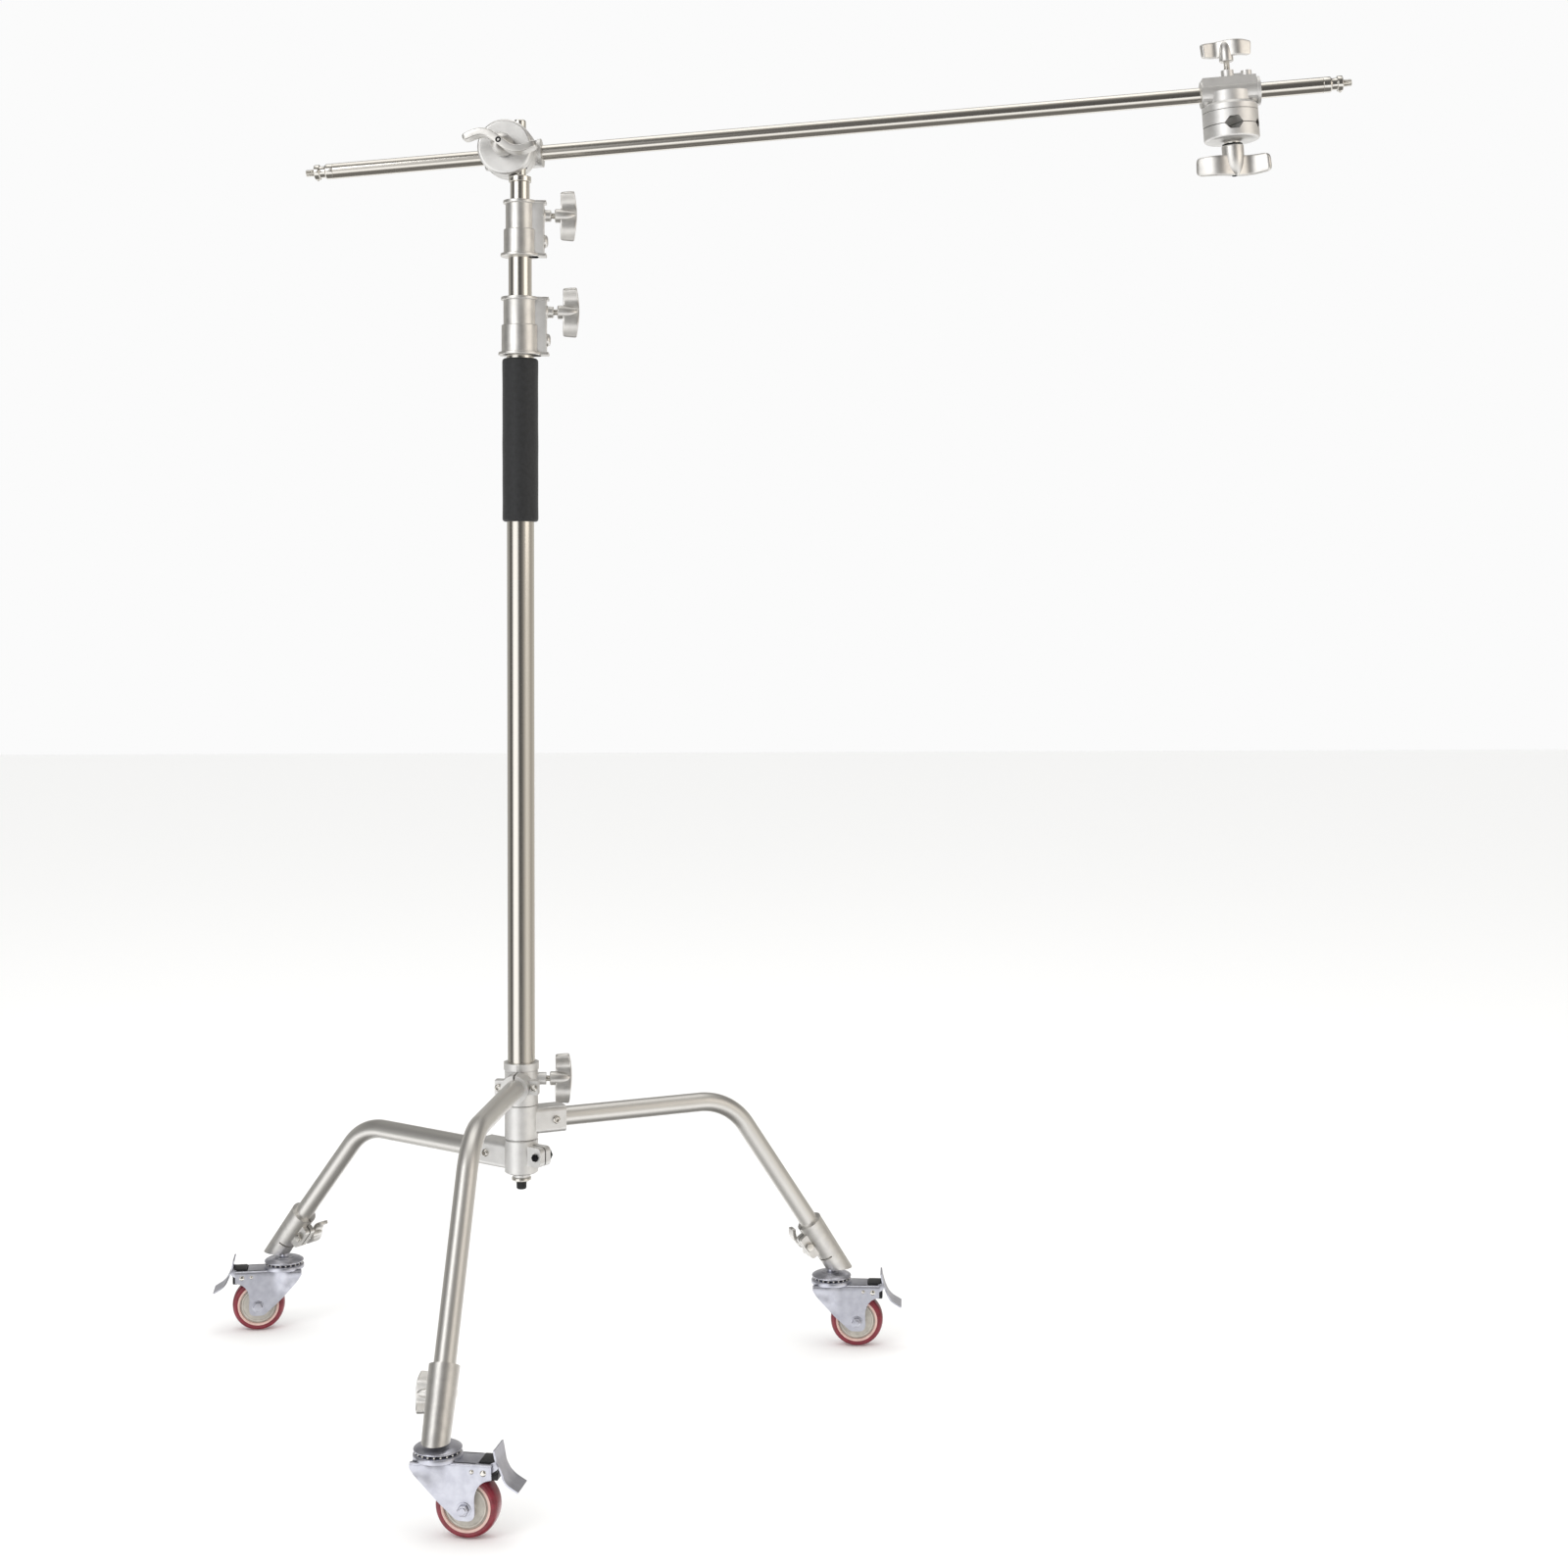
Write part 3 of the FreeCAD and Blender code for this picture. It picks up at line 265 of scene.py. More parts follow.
def carried(path: Array, side: Array | tuple, section: Array, size: Array) -> Shell:
    """A section carried along a path, closed at both ends.

    A section point (a, b) at path point P becomes P + a N + b B, where N is the side direction made square
    to the path and B = N x T.

    Args:
        path: n by 3 points.
        side: direction that the section's first axis keeps to.
        section: m by 2 closed outline, not repeated at its end.
        size: n by 2 factors of the section along the path.

    Returns:
        The closed surface.
    """
    path = np.asarray(path, float)
    ahead, first = directions(path, side)
    second = np.cross(first, ahead)
    ring = np.vstack([section, section[:1]])
    offset = ring[None] * size[:, None]
    points = path[:, None] + offset[..., :1] * first[:, None] + offset[..., 1:] * second[:, None]
    ends = [np.broadcast_to(path[i], points[:1].shape) for i in (0, -1)]
    return grid(np.concatenate([ends[0], points, ends[1]]))


def hollow(path: Array, side: Array | tuple, radius: float, wall: float, lip: float = 0.5,
           steps: int = 48) -> Shell:
    """A round tube along a path: out along its outer wall, round the lip, back along its inner wall.

    Args:
        path: n by 3 points.
        side: a direction square to the path's plane, or any that the path never takes.
        radius: outer radius.
        wall: thickness of the wall.
        lip: rounding of the ends' outer edges.
        steps: faces round the tube.

    Returns:
        The closed surface.
    """
    path = np.asarray(path, float)
    ahead, first = directions(path, side)
    second = np.cross(ahead, first)
    steps_out, last = np.arange(len(path)), len(path) - 1
    order = np.concatenate([[0], steps_out, [last, last], steps_out[::-1], [0]])
    reach = np.full(len(order), radius)
    reach[len(path) + 2:] = radius - wall
    reach[[0, len(path) + 1]] = radius - lip
    slide = np.zeros(len(order))
    slide[1], slide[len(path)] = lip, -lip
    spine = path[order] + ahead[order] * slide[:, None]
    spine = np.vstack([spine, spine[:1]])
    order = np.append(order, order[0])
    reach = np.append(reach, reach[0])
    turn = np.linspace(0, 2 * math.pi, steps + 1)
    cosine, sine = np.cos(turn)[None, :, None], np.sin(turn)[None, :, None]
    ring = cosine * first[order][:, None] + sine * second[order][:, None]
    points = spine[:, None] + reach[:, None, None] * ring
    travel = np.concatenate([[0.0], np.cumsum(np.linalg.norm(np.diff(path, axis=0), axis=1))])[order]
    uv = np.stack(np.meshgrid(travel * MM, turn * radius * MM, indexing="ij"), axis=-1)
    return grid(points, uv)


def pillow_block(low: tuple, high: tuple, radius: float, steps: int = 4) -> Shell:
    """A block with rounded edges: the corner of the block moved in by the radius, plus a sphere's point.

    The sphere's angles run over each quarter twice at its ends, so that the flats lie between quarters.

    Args:
        low: lowest corner.
        high: highest corner.
        radius: rounding of every edge.
        steps: faces across a rounded edge.

    Returns:
        The closed surface.
    """
    low, high = np.asarray(low, float), np.asarray(high, float)
    middle, half = (low + high) / 2, (high - low) / 2
    quarter = np.linspace(0, math.pi / 2, steps + 1)
    turn = (np.arange(4)[:, None] * math.pi / 2 + quarter).ravel()
    turn = np.append(turn, 2 * math.pi)
    around = np.repeat(np.arange(4) * math.pi / 2 + math.pi / 4, steps + 1)
    around = np.append(around, math.pi / 4)
    fall = (np.arange(2)[:, None] * math.pi / 2 + quarter).ravel()
    upright = np.repeat([1.0, -1.0], steps + 1)
    sphere = np.stack([
        np.sin(fall)[:, None] * np.cos(turn), np.sin(fall)[:, None] * np.sin(turn),
        np.broadcast_to(np.cos(fall)[:, None], (len(fall), len(turn))),
    ], axis=-1)
    sign = np.stack([
        np.broadcast_to(np.sign(np.cos(around)), sphere.shape[:2]),
        np.broadcast_to(np.sign(np.sin(around)), sphere.shape[:2]),
        np.broadcast_to(upright[:, None], sphere.shape[:2]),
    ], axis=-1)
    points = middle + sign * (half - radius) + sphere * radius
    ends = [np.broadcast_to(middle + [0, 0, up * half[2]], points[:1].shape) for up in (1, -1)]
    return grid(np.concatenate([ends[0], points, ends[1]]))


def slab(outline: Array, low: float, high: float, radius: float, steps: int = 3) -> Shell:
    """A flat piece cut to an outline, with its rim rounded: loops of the outline moved in along its normals.

    A loop is moved in by radius (1 - cos a) and lies radius (1 - sin a) from its face, with a from 0 to 90
    degrees.

    Args:
        outline: n by 2 closed outline, counter-clockwise.
        low: lower face.
        high: upper face.
        radius: rounding of both rims.
        steps: faces across a rim.

    Returns:
        The closed surface.
    """
    outline = np.asarray(outline, float)
    along = unit_rows(np.roll(outline, -1, axis=0) - outline)
    middle = unit_rows(along + np.roll(along, 1, axis=0))
    inward = np.stack([-middle[:, 1], middle[:, 0]], axis=-1)
    a = np.linspace(0, math.pi / 2, steps + 1)
    inset = np.concatenate([radius * (1 - np.sin(a)), radius * (1 - np.cos(a))])
    height = np.concatenate([low + radius * (1 - np.cos(a)), high - radius * (1 - np.sin(a))])
    loops = outline[None] + inward[None] * inset[:, None, None]
    heights = np.broadcast_to(height[:, None, None], (*loops.shape[:2], 1))
    points = np.concatenate([loops, heights], axis=2)
    points = np.concatenate([points, points[:, :1]], axis=1)
    shell = grid(points)
    count = points.shape[1]
    top = len(shell.points) - count
    caps = [tuple(range(count - 2, -1, -1)), tuple(range(top, top + count - 1))]
    return Shell(shell.points, shell.faces + caps, shell.uv)


def unit_rows(rows: Array) -> Array:
    """Returns each row scaled to length 1."""
    return rows / np.maximum(np.linalg.norm(rows, axis=1, keepdims=True), 1e-12)


def smooth_step(share: Array) -> Array:
    """Returns 0 below 0, 1 above 1 and 3 s^2 - 2 s^3 between."""
    s = np.clip(share, 0, 1)
    return s**2 * (3 - 2 * s)


def rounded_section(power: float, steps: int = 56) -> Array:
    """A superellipse |a|^power + |b|^power = 1, as a closed outline."""
    turn = np.linspace(0, 2 * math.pi, steps, endpoint=False)
    outline = np.stack([np.cos(turn), np.sin(turn)], axis=-1)
    return np.sign(outline) * np.abs(outline) ** (2 / power)


def make_piece(name: str, shell: Shell, finish: Finish, body: str, replaces: tuple[str, ...] = ()) -> None:
    """Makes a shown piece from a shell in the stand's frame, at the origin with its place in its mesh.

    Args:
        name: the piece's name.
        shell: its surfaces, in millimetres.
        finish: its finish.
        body: the moving body that it rides on.
        replaces: the frame's nodes that it stands for.
    """
    mesh = bpy.data.meshes.new(name)
    mesh.from_pydata((shell.points * MM).tolist(), [], shell.faces)
    corner = np.empty(len(mesh.loops), np.int32)
    mesh.loops.foreach_get("vertex_index", corner)
    layer = mesh.uv_layers.new(name="surface")
    layer.data.foreach_set("uv", shell.uv[corner].astype(np.float32).ravel())
    work = bmesh.new()
    work.from_mesh(mesh)
    bmesh.ops.remove_doubles(work, verts=work.verts, dist=SEAM)
    bmesh.ops.dissolve_degenerate(work, edges=work.edges, dist=SLIVER)
    bmesh.ops.recalc_face_normals(work, faces=work.faces)
    work.to_mesh(mesh)
    work.free()
    mesh.shade_smooth()
    mesh.set_sharp_from_angle(angle=math.radians(CREASE))
    mesh.materials.append(finish.material())
    piece = bpy.data.objects.new(name, mesh)
    bpy.context.scene.collection.objects.link(piece)
    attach(piece, body)
    if replaces:
        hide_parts(*replaces)
    log.info("%s: %d faces on %s", name, len(mesh.polygons), body)


# --- finishes -----------------------------------------------------------------------------------------


def linear(colour: str) -> tuple[float, float, float, float]:
    """Turns an sRGB hex colour such as "#8a8d8f" to linear red, green, blue and alpha."""
    values = np.array([int(colour[i:i + 2], 16) / 255 for i in (1, 3, 5)])
    values = np.where(values <= 0.04045, values / 12.92, ((values + 0.055) / 1.055) ** 2.4)
    return (*values.tolist(), 1.0)


def add(tree: bpy.types.NodeTree, kind: str, settings: dict | None = None, links: dict | None = None) -> Node:
    """Adds a node with its settings and links.

    Args:
        tree: the node tree.
        kind: the node's type, such as "ShaderNodeTexNoise".
        settings: values by input name or number, or by attribute; "stops" are (position, colour) of a ramp.
        links: output sockets by input name or number.

    Returns:
        The node.
    """
    node = tree.nodes.new(kind)
    for key, value in (settings or {}).items():
        if key == "stops":
            ramp = node.color_ramp.elements
            for position, colour in value[2:]:
                ramp.new(position)
            for element, (position, colour) in zip(ramp, value):
                element.position, element.color = position, colour
        elif isinstance(key, int) or key in node.inputs:
            node.inputs[key].default_value = value
        else:
            setattr(node, key, value)
    for key, source in (links or {}).items():
        tree.links.new(source, node.inputs[key])
    return node


class Coordinates(Enum):
    """What a pattern is laid out on."""

    SOLID = "Object"
    SURFACE = "UV"


@dataclass(frozen=True)
class Finish:
    """A surface: what it is made of, and a fine and a coarse pattern on it.

    Attributes:
        name: what the surface is.
        slot: the record's material slot; not used.
        colour: sRGB hex colour.
        shade: sRGB hex colour of the darker patches.
        metallic: 1 for bare metal, else 0.
        roughness: middle of the roughness.
        spread: how far the roughness varies each way.
        grain: size of the fine pattern, in mm.
        patch: size of the coarse pattern, in mm.
        stretch: factors of the pattern's scale along its three axes.
        depth: height of the fine pattern, in mm.
        laid: what the pattern is laid out on.
        sockets: other uniform values of the shader, by socket name.
    """

    name: str
    slot: str
    colour: str
    shade: str
    metallic: float
    roughness: float
    spread: float = 0.05
    grain: float = 1.0
    patch: float = 14.0
    stretch: tuple[float, float, float] = (1.0, 1.0, 1.0)
    depth: float = 0.02
    laid: Coordinates = Coordinates.SOLID
    sockets: tuple[tuple[str, float], ...] = ()

    def material(self) -> Material:
        """Builds the finish's material: patches shift its colour, the grain its roughness and its relief.

        Returns:
            The material.
        """
        found = bpy.data.materials.get(self.name)
        if found:
            return found
        material = bpy.data.materials.new(self.name)
        material.use_nodes = True
        tree = material.node_tree
        tree.nodes.clear()
        place = add(tree, "ShaderNodeTexCoord").outputs[self.laid.value]
        laid = add(tree, "ShaderNodeMapping", {"Scale": self.stretch}, {"Vector": place}).outputs[0]
        patches = add(tree, "ShaderNodeTexNoise", {"Scale": 1 / (self.patch * MM), "Detail": 3.0},
                      {"Vector": laid})
        grains = add(tree, "ShaderNodeTexNoise", {
            "Scale": 1 / (self.grain * MM), "Detail": 2.0, "Roughness": 0.6,
        }, {"Vector": laid})
        colour = add(tree, "ShaderNodeValToRGB", {
            "stops": [(0.32, linear(self.shade)), (0.62, linear(self.colour))],
        }, {"Fac": patches.outputs["Fac"]})
        rough = add(tree, "ShaderNodeMapRange", {
            "From Min": 0.3, "From Max": 0.7,
            "To Min": self.roughness - self.spread, "To Max": self.roughness + self.spread,
        }, {"Value": grains.outputs["Fac"]})
        relief = add(tree, "ShaderNodeBump", {"Strength": 1.0, "Distance": self.depth * MM},
                     {"Height": grains.outputs["Fac"]})
        shader = add(tree, "ShaderNodeBsdfPrincipled", {"Metallic": self.metallic, **dict(self.sockets)}, {
            "Base Color": colour.outputs["Color"], "Roughness": rough.outputs[0], "Normal": relief.outputs[0],
        })
        add(tree, "ShaderNodeOutputMaterial", {}, {"Surface": shader.outputs[0]})
        return material


# Satin nickel on drawn steel tube: polished lengthwise, so it shows soft bright bands along its length.
# The polish lines are 0.1 mm apart; they are drawn 0.8 mm apart so that they still show.
SATIN_TUBE = Finish("satin_nickel_steel_tube", "steel_tube", "#d3cfc8", "#cac6bf", 1.0, 0.17, 0.02, 0.8, 60.0,
                    (0.03, 1.0, 1.0), 0.001, Coordinates.SURFACE)
# The legs' tube is bent and then bead-blasted before plating, so its sheen is broader than the column's.
BLASTED_TUBE = Finish("blasted_nickel_steel_tube", "steel_tube", "#dddbd7", "#d4d2ce", 1.0, 0.42, 0.03, 0.9,
                      40.0,
                      (0.2, 1.0, 1.0), 0.003, Coordinates.SURFACE)
# Cast zinc, tumbled and satin plated: soft, even, faintly grainy sheen.
SATIN_CAST = Finish("satin_plated_casting", "satin_casting", "#dad8d4", "#cfcdca", 1.0, 0.42, 0.04, 1.2, 9.0,
                    depth=0.008)
# Cast aluminium, glass-bead blasted: matt light grey, finely pitted. The pits are 0.15 mm; drawn at 0.9 mm.
BLASTED_CAST = Finish("bead_blasted_aluminium", "blasted_casting", "#e2e1df", "#dad9d7", 1.0, 0.5, 0.06, 0.9,
                      12.0,
                      depth=0.02)
# Zinc plate on pressed steel: bluish, fairly bright, with a faint mottle from the bath.
ZINC_PLATE = Finish("zinc_plated_steel", "bright_steel", "#c9cad3", "#bcbdc7", 1.0, 0.38, 0.05, 2.0, 9.0,
                    depth=0.004)
# Bright nickel on machined steel: smooth with a crisp highlight.
BRIGHT_NICKEL = Finish("bright_nickel_plate", "bright_steel", "#d8d5cf", "#cac7c1", 1.0, 0.17, 0.03, 0.7, 5.0,
                       depth=0.003)
# Black-oxide steel: dark, slightly oily sheen on socket screws.
BLACK_OXIDE = Finish("black_oxide_steel", "bright_steel", "#26272a", "#191a1c", 1.0, 0.36, 0.06, 1.0, 4.0,
                     depth=0.006)
# Closed-cell EVA foam sleeve, ground to size: matt black, speckled with cut cells.
# The cells are 0.3 mm wide; they are drawn at 1.1 mm so that they still show.
EVA_FOAM = Finish("eva_foam", "foam", "#1e1f21", "#161718", 0.0, 0.66, 0.06, 1.1, 5.0, depth=0.07,
                  sockets=(("Sheen Weight", 0.1), ("Sheen Roughness", 0.5)))
# Moulded natural-rubber plug: black and matt with a little bloom.
BLACK_RUBBER = Finish("moulded_rubber", "black_rubber", "#1c1c1d", "#131314", 0.0, 0.62, 0.08, 0.8, 4.0,
                      depth=0.03)
# Cast polyurethane tyre: deep red, glossy from its mould, scuffed a little on the tread.
PU_TREAD = Finish("cast_polyurethane", "red_tread", "#82202f", "#6e1926", 0.0, 0.34, 0.08, 1.6, 7.0,
                  depth=0.015,
                  sockets=(("Specular IOR Level", 0.5), ("Coat Weight", 0.15), ("Coat Roughness", 0.25)))
# Moulded nylon wheel core: warm grey, waxy.
NYLON_CORE = Finish("moulded_nylon_core", "wheel_plastic", "#c8c3b9", "#b6b1a8", 0.0, 0.42, 0.06, 1.2, 8.0,
                    depth=0.015)
# Moulded polypropylene rim ring under the tyre: pink cream.
RIM_RING = Finish("moulded_rim_ring", "wheel_plastic", "#dcbdb2", "#cfaea3", 0.0, 0.4, 0.05, 1.2, 8.0,
                  depth=0.01)
# Glass-filled black nylon brake pad: matt, faintly speckled.
BRAKE_NYLON = Finish("glass_filled_nylon", "black_rubber", "#202124", "#17181a", 0.0, 0.5, 0.07, 0.8, 3.0,
                     depth=0.02)
# Natural nylon guide bush: milky white, waxy.
NYLON_BUSH = Finish("natural_nylon", "nylon", "#e6e3d8", "#d9d5c9", 0.0, 0.4, 0.05, 1.0, 6.0, depth=0.01)


# --- studio -------------------------------------------------------------------------------------------


@dataclass(frozen=True)
class SoftLight:
    """A square soft light: its name, place, aim, side and power."""

    name: str
    place: tuple[float, float, float]
    aim: tuple[float, float, float]
    side: float
    power: float
    colour: str = "#ffffff"


@dataclass
class Studio:
    """A pale floor, a pale room with darker flags for the metal to mirror, soft lights and the camera."""

    eye: tuple[float, float, float] = (0.1978, -2.9307, 1.0315)
    pitch: float = 0.78
    yaw: float = 2.79
    lens: float = 51.85
    shift: float = -0.10
    # Bright softboxes and dark flags round the stand, by their share of a turn.
    # The turn starts at the camera and goes by way of the left.
    flags: tuple[tuple[float, str], ...] = (
        (0.0, "#454443"), (0.03, "#5c5b59"), (0.075, "#ffffff"), (0.16, "#ffffff"), (0.20, "#6a6967"),
        (0.25, "#3f3e3c"), (0.30, "#8c8b88"), (0.42, "#a5a4a1"), (0.62, "#b2afa9"), (0.73, "#96928b"),
        (0.80, "#c0bcb5"), (0.85, "#cfcbc4"), (0.90, "#a5a19b"), (0.95, "#666461"), (1.0, "#454443"),
    )
    # The same greys by height, for what looks well up or well down: 0 is straight down and 1 straight up.
    levels: tuple[tuple[float, str], ...] = (
        (0.0, "#74726f"), (0.06, "#5f5d5b"), (0.14, "#c9c8c5"), (0.2, "#ffffff"), (0.36, "#ffffff"),
        (0.5, "#8a8886"),
        (0.7, "#4b4a49"), (0.84, "#5a5958"), (0.92, "#85837f"), (1.0, "#c6c4c0"),
    )
    lights: tuple[SoftLight, ...] = (
        SoftLight("key_softbox", (-2.2, -2.6, 3.0), (0.1, 0.0, 0.9), 1.8, 34.0),
        SoftLight("fill_softbox", (3.0, -1.6, 2.2), (0.2, 0.0, 0.8), 2.2, 16.0, "#fff6ec"),
        SoftLight("top_softbox", (0.2, 0.6, 3.6), (0.2, 0.0, 0.0), 2.4, 16.0),
    )

    def floor(self) -> None:
        """Lays the floor: a very large flat plate of matt pale vinyl."""
        material = Finish("pale_studio_vinyl", "", "#fdfdfc", "#fdfdfc", 0.0, 0.85, 0.02, 3.0, 300.0,
                          depth=0.0).material()
        side = np.linspace(-12, 12, 9)
        x, y = np.meshgrid(side, side, indexing="ij")
        sheet = grid(np.stack([x, y, 0 * x], axis=-1))
        mesh = bpy.data.meshes.new("studio_floor")
        mesh.from_pydata(sheet.points.tolist(), [], sheet.faces)
        mesh.materials.append(material)
        floor = bpy.data.objects.new("studio_floor", mesh)
        floor.visible_glossy = False  # the metal mirrors the room's own lower half
        bpy.context.scene.collection.objects.link(floor)

    def room(self) -> None:
        """Lights the room: pale where the camera sees it, banded bright and dark in reflections."""
        world = bpy.data.worlds.new("studio_room")
        world.use_nodes = True
        bpy.context.scene.world = world
        tree = world.node_tree
        tree.nodes.clear()
        way = add(tree, "ShaderNodeTexCoord").outputs["Generated"]
        part = add(tree, "ShaderNodeSeparateXYZ", {}, {"Vector": way}).outputs
        turn = add(tree, "ShaderNodeMath", {"operation": "ARCTAN2"}, {0: part["X"], 1: part["Y"]})
        share = add(tree, "ShaderNodeMapRange", {"From Min": -math.pi, "From Max": math.pi},
                    {"Value": turn.outputs[0]})
        bands = add(tree, "ShaderNodeValToRGB", {
            "stops": [(place, linear(grey)) for place, grey in self.flags],
        }, {"Fac": share.outputs[0]})
        level = add(tree, "ShaderNodeMapRange", {"From Min": -1.0, "From Max": 1.0},
                    {"Value": part["Z"]}).outputs[0]
        levels = add(tree, "ShaderNodeValToRGB", {
            "stops": [(place, linear(grey)) for place, grey in self.levels],
        }, {"Fac": level})
        off_level = add(tree, "ShaderNodeValToRGB", {"stops": [
            (0.31, (1, 1, 1, 1)), (0.39, (0, 0, 0, 1)), (0.62, (0, 0, 0, 1)), (0.76, (1, 1, 1, 1)),
        ]}, {"Fac": level})
        banded = add(tree, "ShaderNodeMix", {"data_type": "RGBA"},
                     {0: off_level.outputs["Color"], 6: bands.outputs["Color"], 7: levels.outputs["Color"]})
        mirrored = add(tree, "ShaderNodeLightPath").outputs["Is Glossy Ray"]
        reflected = add(tree, "ShaderNodeBackground", {"Strength": 1.6}, {"Color": banded.outputs[2]})
        pale = add(tree, "ShaderNodeBackground", {"Color": linear("#fbfbfb"), "Strength": 1.0})
        both = add(tree, "ShaderNodeMixShader", {}, {
            0: mirrored, 1: pale.outputs[0], 2: reflected.outputs[0],
        })
        add(tree, "ShaderNodeOutputWorld", {}, {"Surface": both.outputs[0]})

    def lamps(self) -> None:
        """Hangs the soft lights."""
        for light in self.lights:
            lamp = bpy.data.lights.new(light.name, "AREA")
            lamp.size, lamp.energy, lamp.color = light.side, light.power, linear(light.colour)[:3]
            holder = bpy.data.objects.new(light.name, lamp)
            holder.location = light.place
            holder.rotation_mode = "QUATERNION"
            holder.rotation_quaternion = (Vector(light.aim) - Vector(light.place)).to_track_quat("-Z", "Y")
            bpy.context.scene.collection.objects.link(holder)

    def camera(self) -> None:
        """Sets the camera up at its height, level but for a small pitch, with the stand inside the frame."""
        data = bpy.data.cameras.new("camera")
        data.lens, data.sensor_width, data.shift_y = self.lens, 36.0, self.shift
        data.clip_start, data.clip_end = 0.05, 60.0
        camera = bpy.data.objects.new("camera", data)
        camera.location = self.eye
        camera.rotation_euler = (math.radians(90 - self.pitch), 0.0, math.radians(-self.yaw))
        bpy.context.scene.collection.objects.link(camera)
        bpy.context.scene.camera = camera

    def build(self) -> None:
        """Builds the whole studio."""
        self.floor()
        self.room()
        self.lamps()
        self.camera()
        bpy.context.scene.view_settings.view_transform = "Standard"
        log.info("studio: %d soft lights, camera %.0f mm", len(self.lights), self.lens)


# --- frame's own nodes --------------------------------------------------------------------------------


@dataclass
class FrameDress:
    """Gives every node of the frame its finish, whether it is shown or stood for."""

    by_word: tuple[tuple[str, Finish], ...] = (
        ("foam_grip", EVA_FOAM), ("plug", BLACK_RUBBER), ("bush", NYLON_BUSH), ("tread", PU_TREAD),
        ("wheel_hub", NYLON_CORE),
        ("collar_screw", SATIN_CAST), ("screws", BRIGHT_NICKEL), ("spindle_nut", BRIGHT_NICKEL),
        ("stud", BRIGHT_NICKEL),
        ("caster_cup", ZINC_PLATE), ("caster_fork", ZINC_PLATE), ("caster_axle", ZINC_PLATE),
        ("brake_pedal", ZINC_PLATE),
        ("knob", SATIN_CAST), ("handle", SATIN_CAST), ("collar", SATIN_CAST), ("caster_socket", SATIN_CAST),
        ("hub", BLASTED_CAST), ("jaw", BLASTED_CAST), ("block", BLASTED_CAST), ("tube", SATIN_TUBE),
        ("leg", BLASTED_TUBE),
    )

    def build(self) -> None:
        """Puts the first matching finish on each node."""
        for name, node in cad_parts.items():
            finish = next(f for word, f in self.by_word if word in name)
            node.data.materials.clear()
            node.data.materials.append(finish.material())
        log.info("frame: %d nodes dressed", len(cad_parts))


# --- turned and drawn parts ---------------------------------------------------------------------------


def straight(low: float, high: float, rows: int = 24) -> Array:
    """Returns evenly spaced points on local +Z."""
    return np.stack([np.zeros(rows), np.zeros(rows), np.linspace(low, high, rows)], axis=-1)


def hex_fastener(across: float, height: float, socket: float = 0.0) -> Shell:
    """A hexagon head or nut that stands on local z = 0, with a chamfered rim.

    Args:
        across: half the distance across its flats.
        height: its height.
        socket: half the width of a hexagonal socket in a round head instead, or 0.

    Returns:
        The closed surface.
    """
    if not socket:
        return spun([(0, 0), (across, 0), (across, height * 0.82), (across * 0.86, height), (0, height)],
                    0.25, sides=6, steps=48)
    profile = [(0, 0), (across, 0), (across, height * 0.55), (across * 0.72, height), (socket, height),
               (socket, height * 0.3), (0, height * 0.3)]
    return spun(profile, [0, 0.2, 0.9, 0.5, 0.15, 0.05, 0], sides=6, steps=48, socket=socket * 1.02)


def pressed(outer: Array, thickness: float) -> Shell:
    """A pressed sheet: a surface and its copy moved along its normals, joined along all four sides.

    Args:
        outer: rows by columns by 3 points of one face.
        thickness: distance to the other face, along the cross product of the two grid directions.

    Returns:
        The closed surface.
    """
    across = np.cross(np.gradient(outer, axis=0), np.gradient(outer, axis=1))
    across /= np.maximum(np.linalg.norm(across, axis=2, keepdims=True), 1e-9)
    inner = outer + across * thickness
    middle = (outer + inner) / 2
    ring = np.concatenate([outer, inner[:, ::-1], outer[:, :1]], axis=1)
    closing = np.concatenate([middle, middle[:, ::-1], middle[:, :1]], axis=1)
    return grid(np.concatenate([closing[:1], ring, closing[-1:]]))


